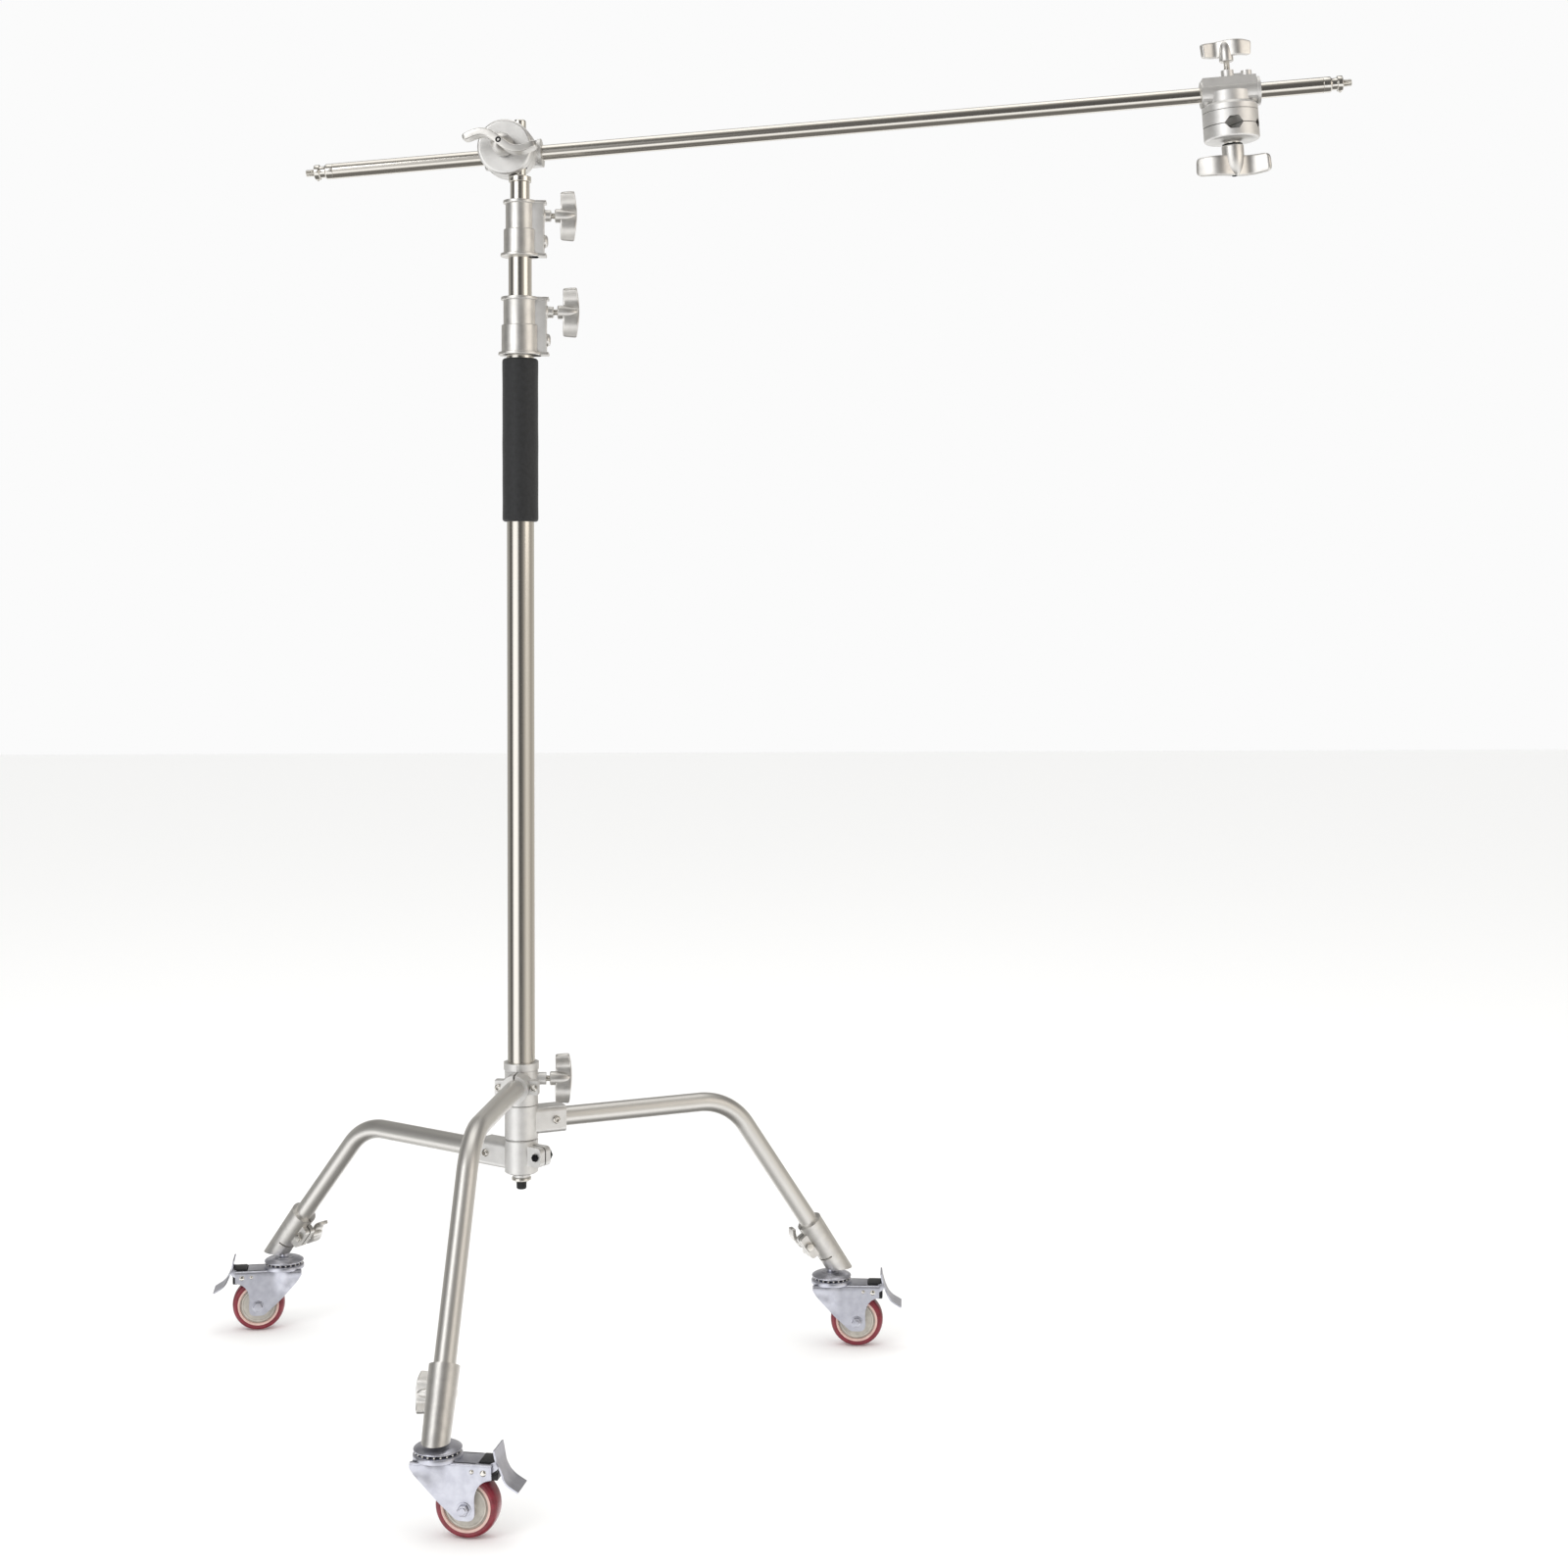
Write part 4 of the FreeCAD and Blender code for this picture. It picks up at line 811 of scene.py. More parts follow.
@dataclass
class Column:
    """The main tube with its foam grip, and the two risers with the stud."""

    wall: float = 1.5
    column: tuple[float, float, float] = (17.5, 388.0, 1378.0)
    riser2: tuple[float, float, float] = (15.0, 452.0, 1501.0)
    riser3: tuple[float, float, float] = (12.5, 500.0, 1565.0)
    foam: tuple[float, float, float] = (23.2, 1128.0, 1338.0)
    stud_radius: float = 7.94
    stud_tip: float = 1645.0

    def tube(self, name: str, size: tuple[float, float, float], body: str) -> None:
        """Makes one straight tube from its radius, foot and top."""
        radius, low, high = size
        shell = hollow(straight(low, high), (1, 0, 0), radius, self.wall)
        make_piece(f"{name}_satin", shell, SATIN_TUBE, body, (name,))

    def grip(self) -> None:
        """Makes the foam sleeve: a tube with soft lips whose skin swells and dips by 0.15 mm."""
        radius, low, high = self.foam
        inner = self.column[0] + 0.05
        z = np.linspace(low + 4, high - 4, 60)
        wavy = radius - 0.2 + 0.15 * np.sin(z / 11.0) * np.sin(z / 29.0)
        skin = np.stack([wavy, z], axis=-1)
        profile = np.vstack([[(inner, low), (radius - 2.4, low), (radius - 0.5, low + 1.6)], skin,
                             [(radius - 0.5, high - 1.6), (radius - 2.4, high), (inner, high)]])
        make_piece("foam_sleeve", spun(profile, 0.8, closed=True, steps=96), EVA_FOAM, "column",
                   ("foam_grip",))

    def stud(self) -> None:
        """Makes the lighting stud: stop ring, shoulder, smooth shank and chamfered tip."""
        top, r = self.riser3[2], self.stud_radius
        profile = [(0, top - 30), (11, top - 30), (11, top), (14.5, top), (14.5, top + 7), (r + 1.2, top + 7),
                   (r, top + 8.2),
                   (r, self.stud_tip - 1.6), (r - 1.6, self.stud_tip), (0, self.stud_tip)]
        make_piece("lighting_stud", spun(profile, 0.7), BRIGHT_NICKEL, "riser3", ("top_stud",))

    def build(self) -> None:
        """Makes the tubes, the grip and the stud."""
        self.tube("column_tube", self.column, "column")
        self.tube("riser2_tube", self.riser2, "riser2")
        self.tube("riser3_tube", self.riser3, "riser3")
        self.grip()
        self.stud()
        log.info("column: tubes %.0f, %.0f and %.0f mm", 2 * self.column[0], 2 * self.riser2[0],
                 2 * self.riser3[0])


@dataclass
class WingKnob:
    """A die-cast knob on its screw: tapered stem, S-shaped wing with a crowned outer edge, and bare thread.

    Attributes:
        gap: bare thread between the boss face and the stem.
        screw_in: length of the plain screw behind the boss face.
        scale: size against the full-size knob.
        screw_radius: radius of its thread.
    """

    gap: float = 5.0
    screw_in: float = 24.0
    scale: float = 1.0
    screw_radius: float = 4.0

    def wing(self) -> Shell:
        """Makes the wing: a rounded section carried along y = -5 sin(pi x / 26.75).

        Its inner edge is straight, and its outer edge falls by 3.5 mm (x / half span)^2 from its crown. Both
        ends are cut off flat: the section shrinks by sqrt(1 - s^60), with s from -1 to 1 along the wing.

        Returns:
            The closed surface.
        """
        k = self.scale
        s = np.sin(np.linspace(-math.pi / 2, math.pi / 2, 71))
        x = 31.0 * s
        past = np.abs(x) - 26.75
        y = np.where(past <= 0, -5.0 * np.sin(math.pi * x / 26.75), np.sign(x) * past * 0.55)
        width = 21.0 - 3.5 * s**2
        ends = np.sqrt(np.clip(1 - np.abs(s) ** 60, 0, 1))
        size = np.stack([width / 2 * ends, (4.2 - 0.5 * np.abs(s)) * ends], axis=-1)
        path = np.stack([x * k, y * k, self.gap + (7 + width / 2) * k], axis=-1)
        return carried(path, (0, 0, 1), rounded_section(9.0), np.maximum(size * k, 1e-3))

    def stem(self) -> Shell:
        """Makes the stem: a barrel of radius R that closes into the wing as a bullet, r = R sqrt(1 - t^2).

        Returns:
            The closed surface.
        """
        k, low, r = self.scale, self.gap, 8.9
        t = np.linspace(0, 0.97, 14)
        nose = np.stack([r * np.sqrt(1 - t**2), 8 + 20.4 * t], axis=-1)
        profile = np.vstack([[(0, 0), (r - 1, 0), (r, 1)], nose, [(0, 28.2)]]) * k
        return spun(profile + [0, low], [0, 0.3 * k, 0.3 * k, *[0.4 * k] * 14, 0])

    def build(self, name: str, place: Place, body: str) -> None:
        """Makes the knob and its bright screw.

        Args:
            name: the frame's node that it stands for.
            place: its frame, with +Z out along the screw from the boss face and +X along the wing.
            body: the moving body that it rides on.
        """
        make_piece(f"{name}_cast", (self.wing() + self.stem()).at(place), SATIN_CAST, body, (name,))
        r, depth, face = self.screw_radius, 0.6, 0.2
        thread = threaded(r, 1.6, face, self.gap + 1, depth)
        rod = spun([(0, -self.screw_in), (r - depth, -self.screw_in), (r - depth, 1), (0, 1)], 0.2, steps=32)
        make_piece(f"{name}_screw", (thread + rod).at(place), BRIGHT_NICKEL, body)


@dataclass
class Collar:
    """A stepped collar on a tube's top, with flanged rims, a lug, a boss, a domed screw and its wing knob."""

    name: str
    low: float
    step: float
    high: float
    barrel: float
    tube_radius: float
    tube_top: float
    riser_radius: float
    knob_z: float
    body: str
    flange: float = 4.0

    def casting(self) -> Shell:
        """Makes the casting: the turned barrel, the foot and cap plates of its lug, and the boss."""
        r, low, high, f = self.barrel, self.low, self.high, self.flange
        outline = [
            (self.tube_radius + 0.03, low), (r + 6.5, low), (r + 6.5, low + f), (r + 2.5, low + f),
            (r + 2.5, self.step),
            (r, self.step), (r, high - f), (r + 3, high - f), (r + 3, high), (self.riser_radius + 1.1, high),
            (self.riser_radius + 0.06, high - 1.2), (self.riser_radius + 0.06, self.tube_top),
            (self.tube_radius + 0.03, self.tube_top),
        ]
        barrel = spun(outline, [0.2, 1.1, 0.9, 0.3, 1.2, 0.3, 0.3, 0.7, 0.8, 0.3, 0.3, 0.1, 0.1], closed=True,
                      steps=96)
        face = self.lug_face
        foot = pillow_block((12, -10, low), (face + 3, 10, low + f), 0.9)
        cap = pillow_block((12, -10, high - f), (face + 3, 10, high), 0.9)
        boss = spun([(0, -2), (9.2, -2), (9.2, 0.4), (7.6, 1.8), (7.5, 8.0), (6.9, 9), (4.4, 9), (4.4, 7.4),
                     (0, 7.4)],
                    [0, 0.2, 0.6, 1.0, 0.4, 0.5, 0.2, 0.2, 0])
        return barrel + foot + cap + boss.at(outward(face, self.knob_z))

    @property
    def lug_face(self) -> float:
        """Distance of the lug's face from the column's axis."""
        return self.barrel + 12.5

    def build(self) -> None:
        """Makes the collar, its screw and its knob."""
        make_piece(f"{self.name}_cast", self.casting(), SATIN_CAST, self.body, (self.name,))
        lug = pillow_block((12, -9, self.low + 0.6), (self.lug_face, 9, self.high - 0.6), 0.7)
        make_piece(f"{self.name}_lug_faces", lug, BLASTED_CAST, self.body)
        spot = outward(self.lug_face + 0.05, self.low + 20)
        dome = spun([(0, 0), (8.5, 0), (8.5, 1.4), (7.4, 3.6), (4.6, 4.9), (2.2, 5.0), (2.2, 2.6), (0, 2.6)],
                    [0, 0.2, 0.6, 1.4, 1.0, 0.3, 0.2, 0])
        make_piece(f"{self.name}_dome_screw", dome.at(spot), SATIN_CAST, self.body,
                   (f"{self.name}_screw",))
        place = outward(self.lug_face + 9, self.knob_z)
        knob = WingKnob(screw_in=self.lug_face + 9 - self.riser_radius - 0.4)
        knob.build(f"{self.name}_knob", place, f"{self.name}_knob")
        log.info("%s: barrel %.0f mm", self.name, 2 * self.barrel)


# --- legs ---------------------------------------------------------------------------------------------


@dataclass
class Leg:
    """A bent leg tube with the clamping sleeve's knob and nut at its foot.

    Attributes:
        name: front, right or left.
        turn: its direction about +Z.
        run: height of its level run.
        bend_start: where the bend begins.
        knob_side: 1 where its knob is counter-clockwise of the leg, seen from above, else -1.
        body: the moving body that it rides on.
    """

    name: str
    turn: float
    run: float
    bend_start: float
    knob_side: int
    body: str
    radius: float = 12.5
    bend: float = 80.0
    foot: tuple[float, float] = (447.0, 122.0)

    @property
    def place(self) -> Place:
        """The leg's frame: +X out along the leg, +Z up."""
        return Place().turned(self.turn)

    def slope(self) -> tuple[Array, float, Array]:
        """Works out the bend: its centre, the angle where the slope starts, and the slope's direction."""
        centre = np.array([self.bend_start, self.run - self.bend])
        away = np.array(self.foot) - centre
        lead = math.atan2(away[1], away[0]) + math.acos(self.bend / np.linalg.norm(away))
        start = centre + self.bend * np.array([math.cos(lead), math.sin(lead)])
        return centre, lead, unit(np.array(self.foot) - start)

    def path(self) -> Array:
        """Returns the tube's centre line in the leg's frame: level run, arc of the bend, slope."""
        centre, lead, _ = self.slope()
        angles = np.linspace(math.pi / 2, lead, 24)
        arc = centre + self.bend * np.stack([np.cos(angles), np.sin(angles)], axis=-1)
        run = np.linspace((19.5, self.run), arc[0], 10)[:-1]
        slope = np.linspace(arc[-1], self.foot, 10)[1:]
        line = np.vstack([run, arc, slope])
        return np.stack([line[:, 0], np.zeros(len(line)), line[:, 1]], axis=-1)

    def build(self) -> None:
        """Makes the tube, and the knob and nut that clamp the caster's sleeve."""
        tube = hollow(self.path(), (0, 1, 0), self.radius, 1.5)
        make_piece(f"{self.name}_leg_satin", tube.at(self.place), BLASTED_TUBE, self.body,
                   (f"{self.name}_leg",))
        down = self.slope()[2]
        up, under = np.array([-down[0], 0, -down[1]]), np.array([down[1], 0, -down[0]])
        out = np.array([0.0, self.knob_side, 0.0])
        middle = np.array([self.foot[0], 0, self.foot[1]]) + under * 21 + up * 36
        knob_place = self.place.place(middle + out * 8.3, up, out)
        WingKnob(5.0, 20.0, 0.72, 3.0).build(f"socket_knob_{self.name}", knob_place,
                                             f"socket_knob_{self.name}")
        nut = hex_fastener(5.2, 4.5).at(self.place.place(middle - out * 8.1, up, -out))
        make_piece(f"{self.name}_sleeve_nut", nut, BRIGHT_NICKEL, self.body)
        log.info("%s leg: run %.0f mm up, turned %.0f degrees", self.name, self.run, self.turn)


# --- casters ------------------------------------------------------------------------------------------


@dataclass
class Caster:
    """A braked swivel caster in its own frame: the stem on +Z, trailing towards +X, the floor at z = 0."""

    name: str
    leg_turn: float
    trail_turn: float
    leg_body: str
    foot_circle: float = 447.0
    trail: float = 35.0
    wheel: float = 36.0
    half_width: float = 12.0
    rim: float = 28.0

    @property
    def place(self) -> Place:
        """The caster's frame."""
        return Place(tuple(radial(self.leg_turn) * self.foot_circle)).turned(self.trail_turn)

    @property
    def axle(self) -> Place:
        """The wheel's frame: +Z along the axle."""
        return self.place.place((self.trail, 0, self.wheel), (1, 0, 0), (0, 1, 0))

    def cup(self) -> None:
        """Makes the upper bearing cup with a rolled rim, and the ring of balls that shows under it."""
        profile = [(0, 92.8), (22, 92.8), (25.4, 93.8), (27, 94.6), (27, 96), (25.2, 97.2), (21, 99.2),
                   (14, 100.2), (12.6, 101),
                   (7.2, 101), (6, 101.6), (6, 114), (0, 114)]
        cup = spun(profile, [0, 0.5, 0.6, 0.7, 0.9, 1.4, 3, 1.2, 0.6, 0.6, 0.4, 0.2, 0], steps=72)
        make_piece(f"bearing_cup_{self.name}", cup.at(self.place), ZINC_PLATE, self.leg_body,
                   (f"caster_cup_{self.name}",))
        balls = 22
        turn = np.arange(balls) * 2 * math.pi / balls
        centres = np.stack([25.0 * np.cos(turn), 25.0 * np.sin(turn), np.full(balls, 92.6)], axis=-1)
        a, b = np.meshgrid(np.linspace(0, math.pi, 7), np.linspace(0, 2 * math.pi, 11), indexing="ij")
        ball = 1.35 * np.stack([np.sin(a) * np.cos(b), np.sin(a) * np.sin(b), np.cos(a)], axis=-1)
        one = grid(ball)
        cells = np.array(one.faces)
        faces = (cells[None] + (np.arange(balls) * len(one.points))[:, None, None]).reshape(-1, 4)
        points = (centres[:, None] + one.points[None]).reshape(-1, 3)
        ring = Shell(points, list(map(tuple, faces.tolist())), np.tile(one.uv, (balls, 1)))
        make_piece(f"bearing_balls_{self.name}", ring.at(self.place), BRIGHT_NICKEL, f"caster_{self.name}")

    def cheek(self, side: int) -> Shell:
        """Makes one cheek of the fork: ruled from its lower outline up to the bend, flared under the race.

        With t from the outline (0) to the top (1), a point is (1 - t) outline + t top; its distance from the
        middle plane is 19 plus a flare of 5.5 mm that dies out towards the wheel and downwards, and the last
        3 mm follow a quarter circle into the top plate.

        Args:
            side: 1 or -1.

        Returns:
            The closed surface.
        """
        corners = np.array([(-25, 80), (-19, 70), (4, 44), (22, 28), (27, 23.5), (43, 23.5), (47.5, 29),
                            (46.5, 50), (50, 61), (57, 67.5), (66, 70)])
        low = eased(corners, [0, 6, 4, 4, 5, 5, 5, 6, 5, 4, 0], closed=False, steps=5)
        share = np.linspace(0, 1, len(low))
        high = np.stack([-25 + 91 * share, np.full(len(low), 83.0)], axis=-1)
        t = np.linspace(0, 1, 12)[None, :, None]
        flat = (1 - t) * low[:, None] + t * high[:, None]
        flare = 5.5 * smooth_step((16 - flat[..., 0]) / 24) * smooth_step((flat[..., 1] - 52) / 30)
        wall = np.stack([flat[..., 0], side * (19 + flare), flat[..., 1]], axis=-1)
        a = np.linspace(0, math.pi / 2, 6)[None, 1:]
        edge = wall[:, -1:]
        reach = 19 + flare[:, -1:] - 3 + 3 * np.cos(a)
        bend = np.stack([edge[..., 0] + 0 * a, side * reach, 83 + 3 * np.sin(a) + 0 * reach], axis=-1)
        lip = np.stack([edge[..., 0], side * (reach[:, -1:] - 2.0), 86 + 0 * edge[..., 0]], axis=-1)
        return pressed(np.concatenate([wall, bend, lip], axis=1), 2.3 * side)

    def fork(self) -> None:
        """Makes the fork: two cheeks, the top plate, the lower race, and the rivets through the cheeks."""
        plate = eased(np.array([(-24, -22), (6, -22), (18, -17), (50, -17), (50, 17), (18, 17), (6, 22),
                                (-24, 22)]), 6.0, closed=True)
        top = slab(plate, 83.4, 86.0, 0.6)
        race = spun([(0, 85), (27.6, 85), (27.6, 89.8), (25.8, 91), (22, 91.8), (0, 91.8)],
                    [0, 0.5, 1.0, 0.8, 0.6, 0], steps=72)
        rivets = []
        for side in (-1, 1):
            for x, z, r in ((44, 78, 2.6), (57, 77, 3.6)):
                dome = spun([(0, -0.5), (r, -0.5), (r, 0.3), (r * 0.7, 1.2), (0, 1.5)], [0, 0.1, 0.4, 0.6, 0],
                            steps=24)
                rivets.append(dome.at(Place((x, 19 * side, z), (1, 0, 0), (0, side, 0))))
        whole = self.cheek(1) + self.cheek(-1) + top + race
        make_piece(f"pressed_fork_{self.name}", whole.at(self.place), ZINC_PLATE, f"caster_{self.name}",
                   (f"caster_fork_{self.name}",))
        domes = sum(rivets[1:], rivets[0])
        make_piece(f"fork_rivets_{self.name}", domes.at(self.place), BRIGHT_NICKEL, f"caster_{self.name}")

    def axle_bolt(self) -> None:
        """Makes the axle bolt: shank, flanged hexagon head and nut with the bolt's end showing."""
        reach = 19.3
        shank = spun([(0, -reach - 5.6), (3.6, -reach - 5.6), (4, -reach - 5.0), (4, reach + 0.5),
                      (0, reach + 0.5)], 0.2, steps=32)
        head = hex_fastener(5.8, 4.2).at(Place((0, 0, reach), (1, 0, 0), (0, 0, 1)))
        nut = hex_fastener(5.8, 4.4).at(Place((0, 0, -reach), (1, 0, 0), (0, 0, -1)))
        washers = [spun([(0, -0.6), (8.2, -0.6), (8.2, 0.5), (0, 0.5)], 0.2,
                        steps=40).at(Place((0, 0, reach * s))) for s in (-1, 1)]
        make_piece(f"axle_bolt_{self.name}", (shank + head + nut + washers[0] + washers[1]).at(self.axle),
                   ZINC_PLATE,
                   f"caster_{self.name}", (f"caster_axle_{self.name}",))

    def tyre(self) -> None:
        """Makes the tyre, crowned across its tread, with round shoulders."""
        w, r = self.half_width, self.wheel
        across = np.linspace(-1, 1, 17)
        crown = np.stack([r - 1.0 * np.abs(across) ** 2.6, across * (w - 3.2)], axis=-1)
        profile = np.vstack([[(self.rim, -w), (r - 4.6, -w), (r - 2.2, -w + 1.2)], crown,
                             [(r - 2.2, w - 1.2), (r - 4.6, w), (self.rim, w)]])
        make_piece(f"polyurethane_tyre_{self.name}", spun(profile, 0.8, closed=True, steps=96).at(self.axle),
                   PU_TREAD,
                   f"wheel_{self.name}", (f"wheel_tread_{self.name}",))

    def core(self) -> None:
        """Makes the wheel's core with its dished faces, and the rim ring that shows between core and tyre."""
        w, rim = self.half_width, self.rim
        half = [(4.1, w + 2), (8.6, w + 2), (10, w + 0.8), (10.8, w - 2.2), (20.5, w - 1.6), (21.4, w - 0.6),
                (22.9, w - 0.6),
                (23.3, w - 3.4), (25.6, w - 3.4)]
        outline = half + [(r, -z) for r, z in reversed(half)]
        make_piece(f"nylon_core_{self.name}", spun(outline, 0.5, closed=True, steps=96).at(self.axle),
                   NYLON_CORE,
                   f"wheel_{self.name}", (f"wheel_hub_{self.name}",))
        ring = spun([(25.4, -w - 0.1), (rim + 0.4, -w - 0.1), (rim + 0.4, w + 0.1), (25.4, w + 0.1)],
                    [0.8, 0.3, 0.3, 0.8], closed=True, steps=96)
        make_piece(f"rim_ring_{self.name}", ring.at(self.axle), RIM_RING, f"wheel_{self.name}")

    def pedal(self) -> None:
        """Makes the brake pedal: a bent sheet on two ears, its pin, and the nylon brake pad."""
        line = eased(np.array([(69.4, 101.8), (72.4, 86.6), (81.3, 66.8), (96.4, 57.9)]), [0, 9, 7, 0],
                     closed=False, steps=8)
        share = np.linspace(0, 1, len(line))
        half = 17.5 - 4.0 * np.exp(-((share - 0.42) / 0.2) ** 2)
        across = np.linspace(-1, 1, 9)
        leaf = np.stack([np.broadcast_to(line[:, None, 0], (len(line), 9)), half[:, None] * across,
                         np.broadcast_to(line[:, None, 1], (len(line), 9))], axis=-1)
        ear = eased(np.array([(53.5, 73), (60, 72.2), (72, 80), (73.5, 86), (70, 89), (53.5, 81)]), 2.2,
                    closed=True)
        flip = Place((0, 0, 0), (1, 0, 0), (0, -1, 0))
        ears = slab(ear, 12, 14, 0.4).at(flip) + slab(ear, -14, -12, 0.4).at(flip)
        pin = spun([(0, -19.4), (3, -19.4), (3, 19.4), (0, 19.4)], 0.3,
                   steps=28).at(Place((57, 0, 77), (1, 0, 0), (0, 1, 0)))
        whole = pressed(leaf, -1.9) + ears + pin
        make_piece(f"pressed_pedal_{self.name}", whole.at(self.place), ZINC_PLATE, f"pedal_{self.name}",
                   (f"brake_pedal_{self.name}",))
        block = eased(np.array([(50.8, 74.5), (62, 71.5), (70, 74), (71, 84), (68, 88.6), (50.8, 88.6)]), 1.8,
                      closed=True)
        claw = pillow_block((61, -8.5, 65.5), (70.5, 8.5, 75), 1.5)
        pad = slab(block, -11.4, 11.4, 0.8).at(flip) + claw
        make_piece(f"brake_pad_{self.name}", pad.at(self.place), BRAKE_NYLON, f"pedal_{self.name}")

    def build(self) -> None:
        """Makes the whole caster."""
        self.cup()
        self.fork()
        self.axle_bolt()
        self.tyre()
        self.core()
        self.pedal()
        log.info("%s caster: wheel %.0f mm, trailing %.0f degrees", self.name, 2 * self.wheel,
                 self.trail_turn)


# --- boom and grip heads ------------------------------------------------------------------------------


@dataclass
class GripHead:
    """The dressed parts of a grip head: its T-handle with the clamping screw, and the arm's wing knob.

    Attributes:
        name: head1 or head2.
        block: the receiver's frame: +X along the arm, +Z out through the jaws.
        handle_turn: turn of the handle about its screw.
    """

    name: str
    block: Place
    handle_turn: float
    face: float = 62.0

    def handle(self) -> None:
        """Makes the handle: washer, bullet stem, S-shaped bar, bare thread and the black retaining screw."""
        f = self.face
        place = self.block.turned(self.handle_turn)
        t = np.linspace(0, 0.93, 16)
        nose = np.stack([14.0 * np.sqrt(1 - t**2), f + 14 + 31.4 * t], axis=-1)
        profile = np.vstack([[(0, f + 5.4), (13.2, f + 5.4), (14, f + 6.4)], nose, [(0, f + 43.6)]])
        stem = spun(profile, [0, 0.4, 0.4, *[0.6] * 16, 0])
        collar = spun([(0, f + 3.4), (12.9, f + 3.4), (12.9, f + 5.6), (0, f + 5.6)], 0.4)
        bar = self.bar().at(Place((0, 0, f + 31)))
        make_piece(f"{self.name}_handle_cast", (stem + bar).at(place), SATIN_CAST, f"{self.name}_handle",
                   (f"{self.name}_handle",))
        washer = spun([(0, f + 0.3), (10.5, f + 0.3), (10.5, f + 3.5), (0, f + 3.5)], 0.5)
        rod = threaded(5.0, 1.8, 14, f + 5, 0.7)
        make_piece(f"{self.name}_clamp_screw", (washer + rod).at(place), BRIGHT_NICKEL, f"{self.name}_handle")
        make_piece(f"{self.name}_thrust_collar", collar.at(place), BLACK_OXIDE, f"{self.name}_handle")
        cap = hex_fastener(4.0, 2.6, 1.7).at(place.place((0, 0, f + 42.2)))
        make_piece(f"{self.name}_retaining_screw", cap, BLACK_OXIDE, f"{self.name}_handle")

    @staticmethod
    def bar() -> Shell:
        """Makes the bar: a rounded section carried along y = -8 sin(pi x / 42), crowned outwards.

        Returns:
            The closed surface, about z = 0.
        """
        s = np.sin(np.linspace(-math.pi / 2, math.pi / 2, 73))
        x = 47.0 * s
        y = np.where(np.abs(x) <= 42, -8.0 * np.sin(math.pi * x / 42), np.sign(x) * (np.abs(x) - 42) * 0.6)
        width = 26.0 - 3.0 * s**2
        ends = np.sqrt(np.clip(1 - np.abs(s) ** 30, 0, 1))
        size = np.stack([width / 2 * ends, (5.2 - 0.8 * np.abs(s)) * ends], axis=-1)
        path = np.stack([x, y, (width - 26) / 2], axis=-1)
        return carried(path, (0, 0, 1), rounded_section(8.0), np.maximum(size, 1e-3))

    def build(self) -> None:
        """Makes the handle and the arm's knob."""
        self.handle()
        place = self.block.place((0, 0, -29), (1, 0, 0), (0, 0, -1))
        WingKnob(11.0, 18.6).build(f"{self.name}_block_knob", place, f"{self.name}_block_knob")
        log.info("%s: handle and knob", self.name)


@dataclass
class Boom:
    """The boom tube with its stepped end fittings."""

    block: Place
    radius: float = 10.0
    left: float = 238.0
    right: float = 1050.0

    def end(self, place: Place, body: str, name: str) -> None:
        """Makes one end fitting: ferrule, neck, flange, threaded tip and the flange's ball lock."""
        body_shell = spun([(0, -25), (8.5, -25), (8.5, 0), (10, 0), (10, 9), (9, 10), (7.6, 10.6),
                           (7.6, 17.4), (9.9, 18),
                           (9.9, 24.4), (5, 25), (0, 25)],
                           [0, 0.2, 0.2, 0.5, 0.9, 0.4, 0.4, 0.4, 0.8, 0.8, 0.3, 0])
        lock = spun([(0, 0), (1.7, 0), (1.7, 0.7), (1.2, 1.5), (0, 1.9)], [0, 0.1, 0.5, 0.5, 0], steps=24)
        lock = lock.at(Place((0, 9.7, 21), (1, 0, 0), (0, 1, 0)))
        tip = threaded(4.6, 1.6, 24, 36, 0.7)
        make_piece(name, (body_shell + lock + tip).at(place), BRIGHT_NICKEL, body, ("boom_end_studs",))

    def build(self) -> None:
        """Makes the tube and both end fittings."""
        tube = hollow(straight(-self.left, self.right, 40), (0, 1, 0), self.radius, 1.5)
        lying = self.block.place((0, 0, 0), (0, 1, 0), (1, 0, 0))
        make_piece("boom_tube_satin", tube.at(lying), SATIN_TUBE, "boom", ("boom_tube",))
        self.end(self.block.place((-self.left, 0, 0), (0, 0, -1), (-1, 0, 0)), "boom", "boom_end_left")
        self.end(self.block.place((self.right, 0, 0), (0, 0, 1), (1, 0, 0)), "boom", "boom_end_right")
        log.info("boom: %.0f mm", self.left + self.right)


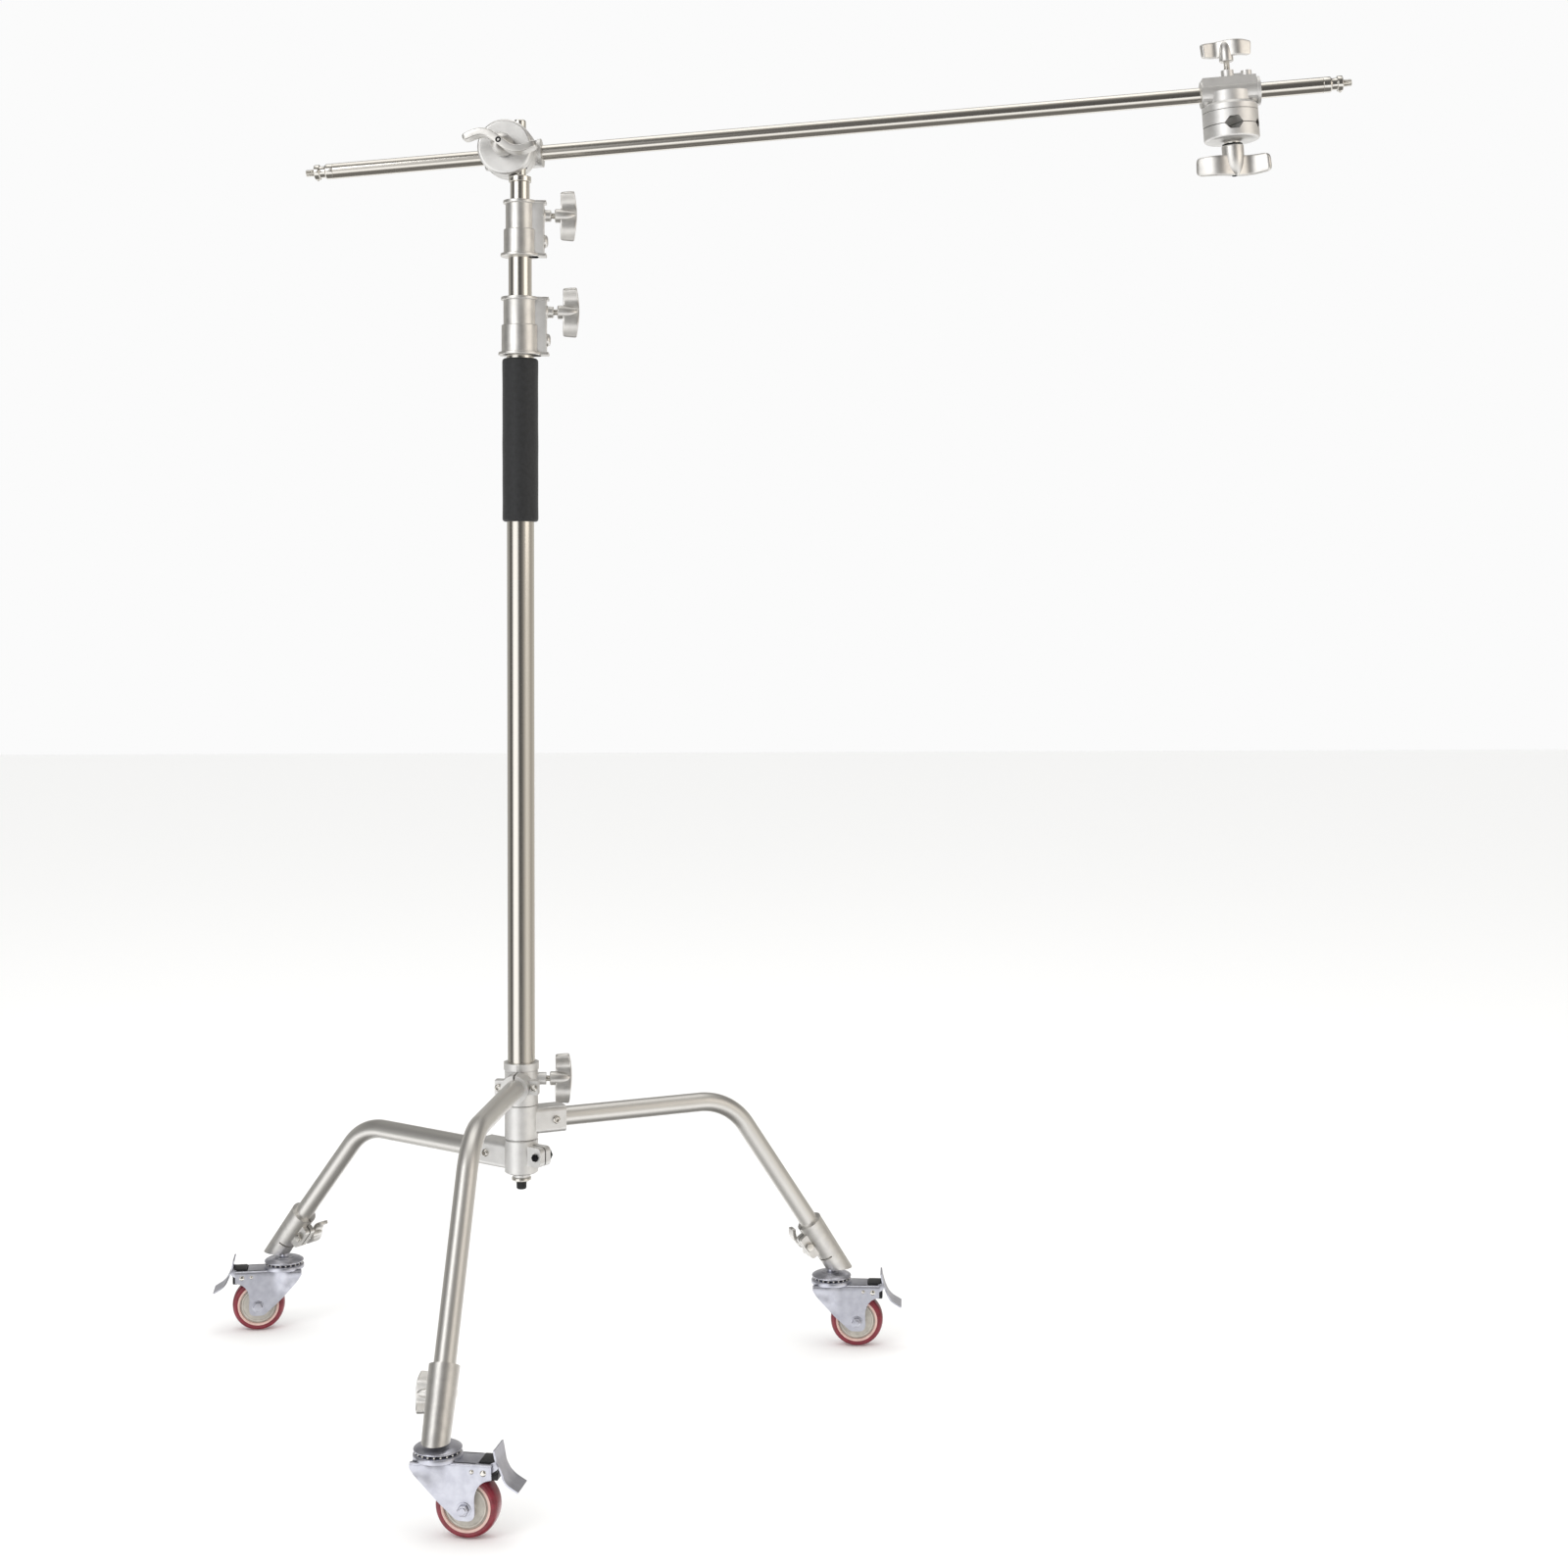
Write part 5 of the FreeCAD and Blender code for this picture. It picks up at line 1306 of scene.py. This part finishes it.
@dataclass
class Fasteners:
    """The base's bolts, screws, retaining nut and the spindle's plug."""

    def plug(self) -> None:
        """Makes the knurled rubber plug: a turned profile whose radius ripples 24 times round."""
        shell = spun([(0, 264), (5.2, 264), (6.4, 265.2), (6.6, 274), (0, 274)], [0, 0.4, 0.6, 0.1, 0],
                     steps=96)
        turn = np.arctan2(shell.points[:, 1], shell.points[:, 0])
        ripple = 1 - 0.05 * (0.5 - 0.5 * np.cos(24 * turn))
        points = shell.points * np.stack([ripple, ripple, np.ones_like(ripple)], axis=-1)
        make_piece("knurled_plug", Shell(points, shell.faces, shell.uv), BLACK_RUBBER, "base",
                   ("spindle_plug",))

    def nut(self) -> None:
        """Makes the ring nut under the leg hubs, with chamfered rims."""
        ring = spun([(7.5, 275), (11.4, 275), (12.5, 276), (12.5, 279), (11.6, 279.9), (7.5, 279.9)], 0.4,
                    closed=True)
        make_piece("spindle_ring_nut", ring, BRIGHT_NICKEL, "base", ("spindle_nut",))

    def clamp_screws(self) -> None:
        """Makes the two socket screws of the front leg's clamp."""
        hub = Place().turned(LEG_TURNS["front"])
        spots = [hub.place((33.05, side * 23.0, 402), (0, 0, 1), (1, 0, 0)) for side in (-1, 1)]
        screws = [hex_fastener(4.6, 4.6, 2.4).at(spot) for spot in spots]
        make_piece("front_clamp_screws", screws[0] + screws[1], BRIGHT_NICKEL, "base", ("front_leg_screws",))

    def socket_screw(self, name: str, reach: float, run: float, near: int) -> None:
        """Makes the round-headed socket screw of a leg's hub."""
        hub = Place().turned(LEG_TURNS[name])
        spot = hub.place((reach - 14, 16.05 * near, run), (1, 0, 0), (0, near, 0))
        make_piece(f"{name}_socket_screw", hex_fastener(5.0, 3.8, 2.2).at(spot), BRIGHT_NICKEL, f"{name}_leg",
                   (f"{name}_leg_screws",))

    def lock_bolt(self) -> None:
        """Makes the dark bolt and nut that lock the left leg's hub."""
        hub = Place().turned(LEG_TURNS["left"])
        head = hex_fastener(6.5, 6.0).at(hub.place((-33, -10.05, 310.5), (1, 0, 0), (0, -1, 0)))
        nut = hex_fastener(4.4, 3.5).at(hub.place((-33, 10.05, 310.5), (1, 0, 0), (0, 1, 0)))
        make_piece("left_lock_bolt", head + nut, BLACK_OXIDE, "left_leg")

    def build(self) -> None:
        """Makes all the base's fasteners."""
        self.plug()
        self.nut()
        self.clamp_screws()
        self.socket_screw("right", 56, 353, -1)
        self.socket_screw("left", 62, 307, 1)
        self.lock_bolt()
        log.info("base: fasteners and plug")


def main() -> None:
    """Builds the studio and the stand, sub-assembly by sub-assembly."""
    logging.basicConfig(level=logging.INFO, format="%(message)s")
    Studio().build()
    FrameDress().build()
    Column().build()
    Collar("lower_collar", 1342, 1381, 1417, 21.5, 17.5, 1378, 15.0, 1398, "column").build()
    Collar("upper_collar", 1469, 1504, 1541, 18.5, 15.0, 1501, 12.5, 1522, "riser2").build()
    WingKnob(screw_in=14.1).build("base_knob", outward(32, 407), "base_knob")
    Fasteners().build()
    for name, run, bend, side, trail_turn, body in (
        ("front", 402.0, 238.0, -1, -12.0, "base"),
        ("right", 353.0, 250.0, 1, -6.0, "right_leg"),
        ("left", 307.0, 250.0, -1, 186.0, "left_leg"),
    ):
        Leg(name, LEG_TURNS[name], run, bend, side, body).build()
        Caster(name, LEG_TURNS[name], trail_turn, body).build()
    jaw_x, jaw_z = radial(-6), radial(-96)
    origin = jaw_x * -17.0 - jaw_z * 43.5 + np.array([0, 0, 1608.0])
    block1 = Place(tuple(origin), tuple(jaw_x), tuple(jaw_z)).turned(4.3)
    block2 = block1.place((930, 0, 0), (1, 0, 0), (0, -1, 0))
    Boom(block1).build()
    GripHead("head1", block1, -12.0).build()
    GripHead("head2", block2, 0.0).build()


if __name__ == "__main__":
    main()
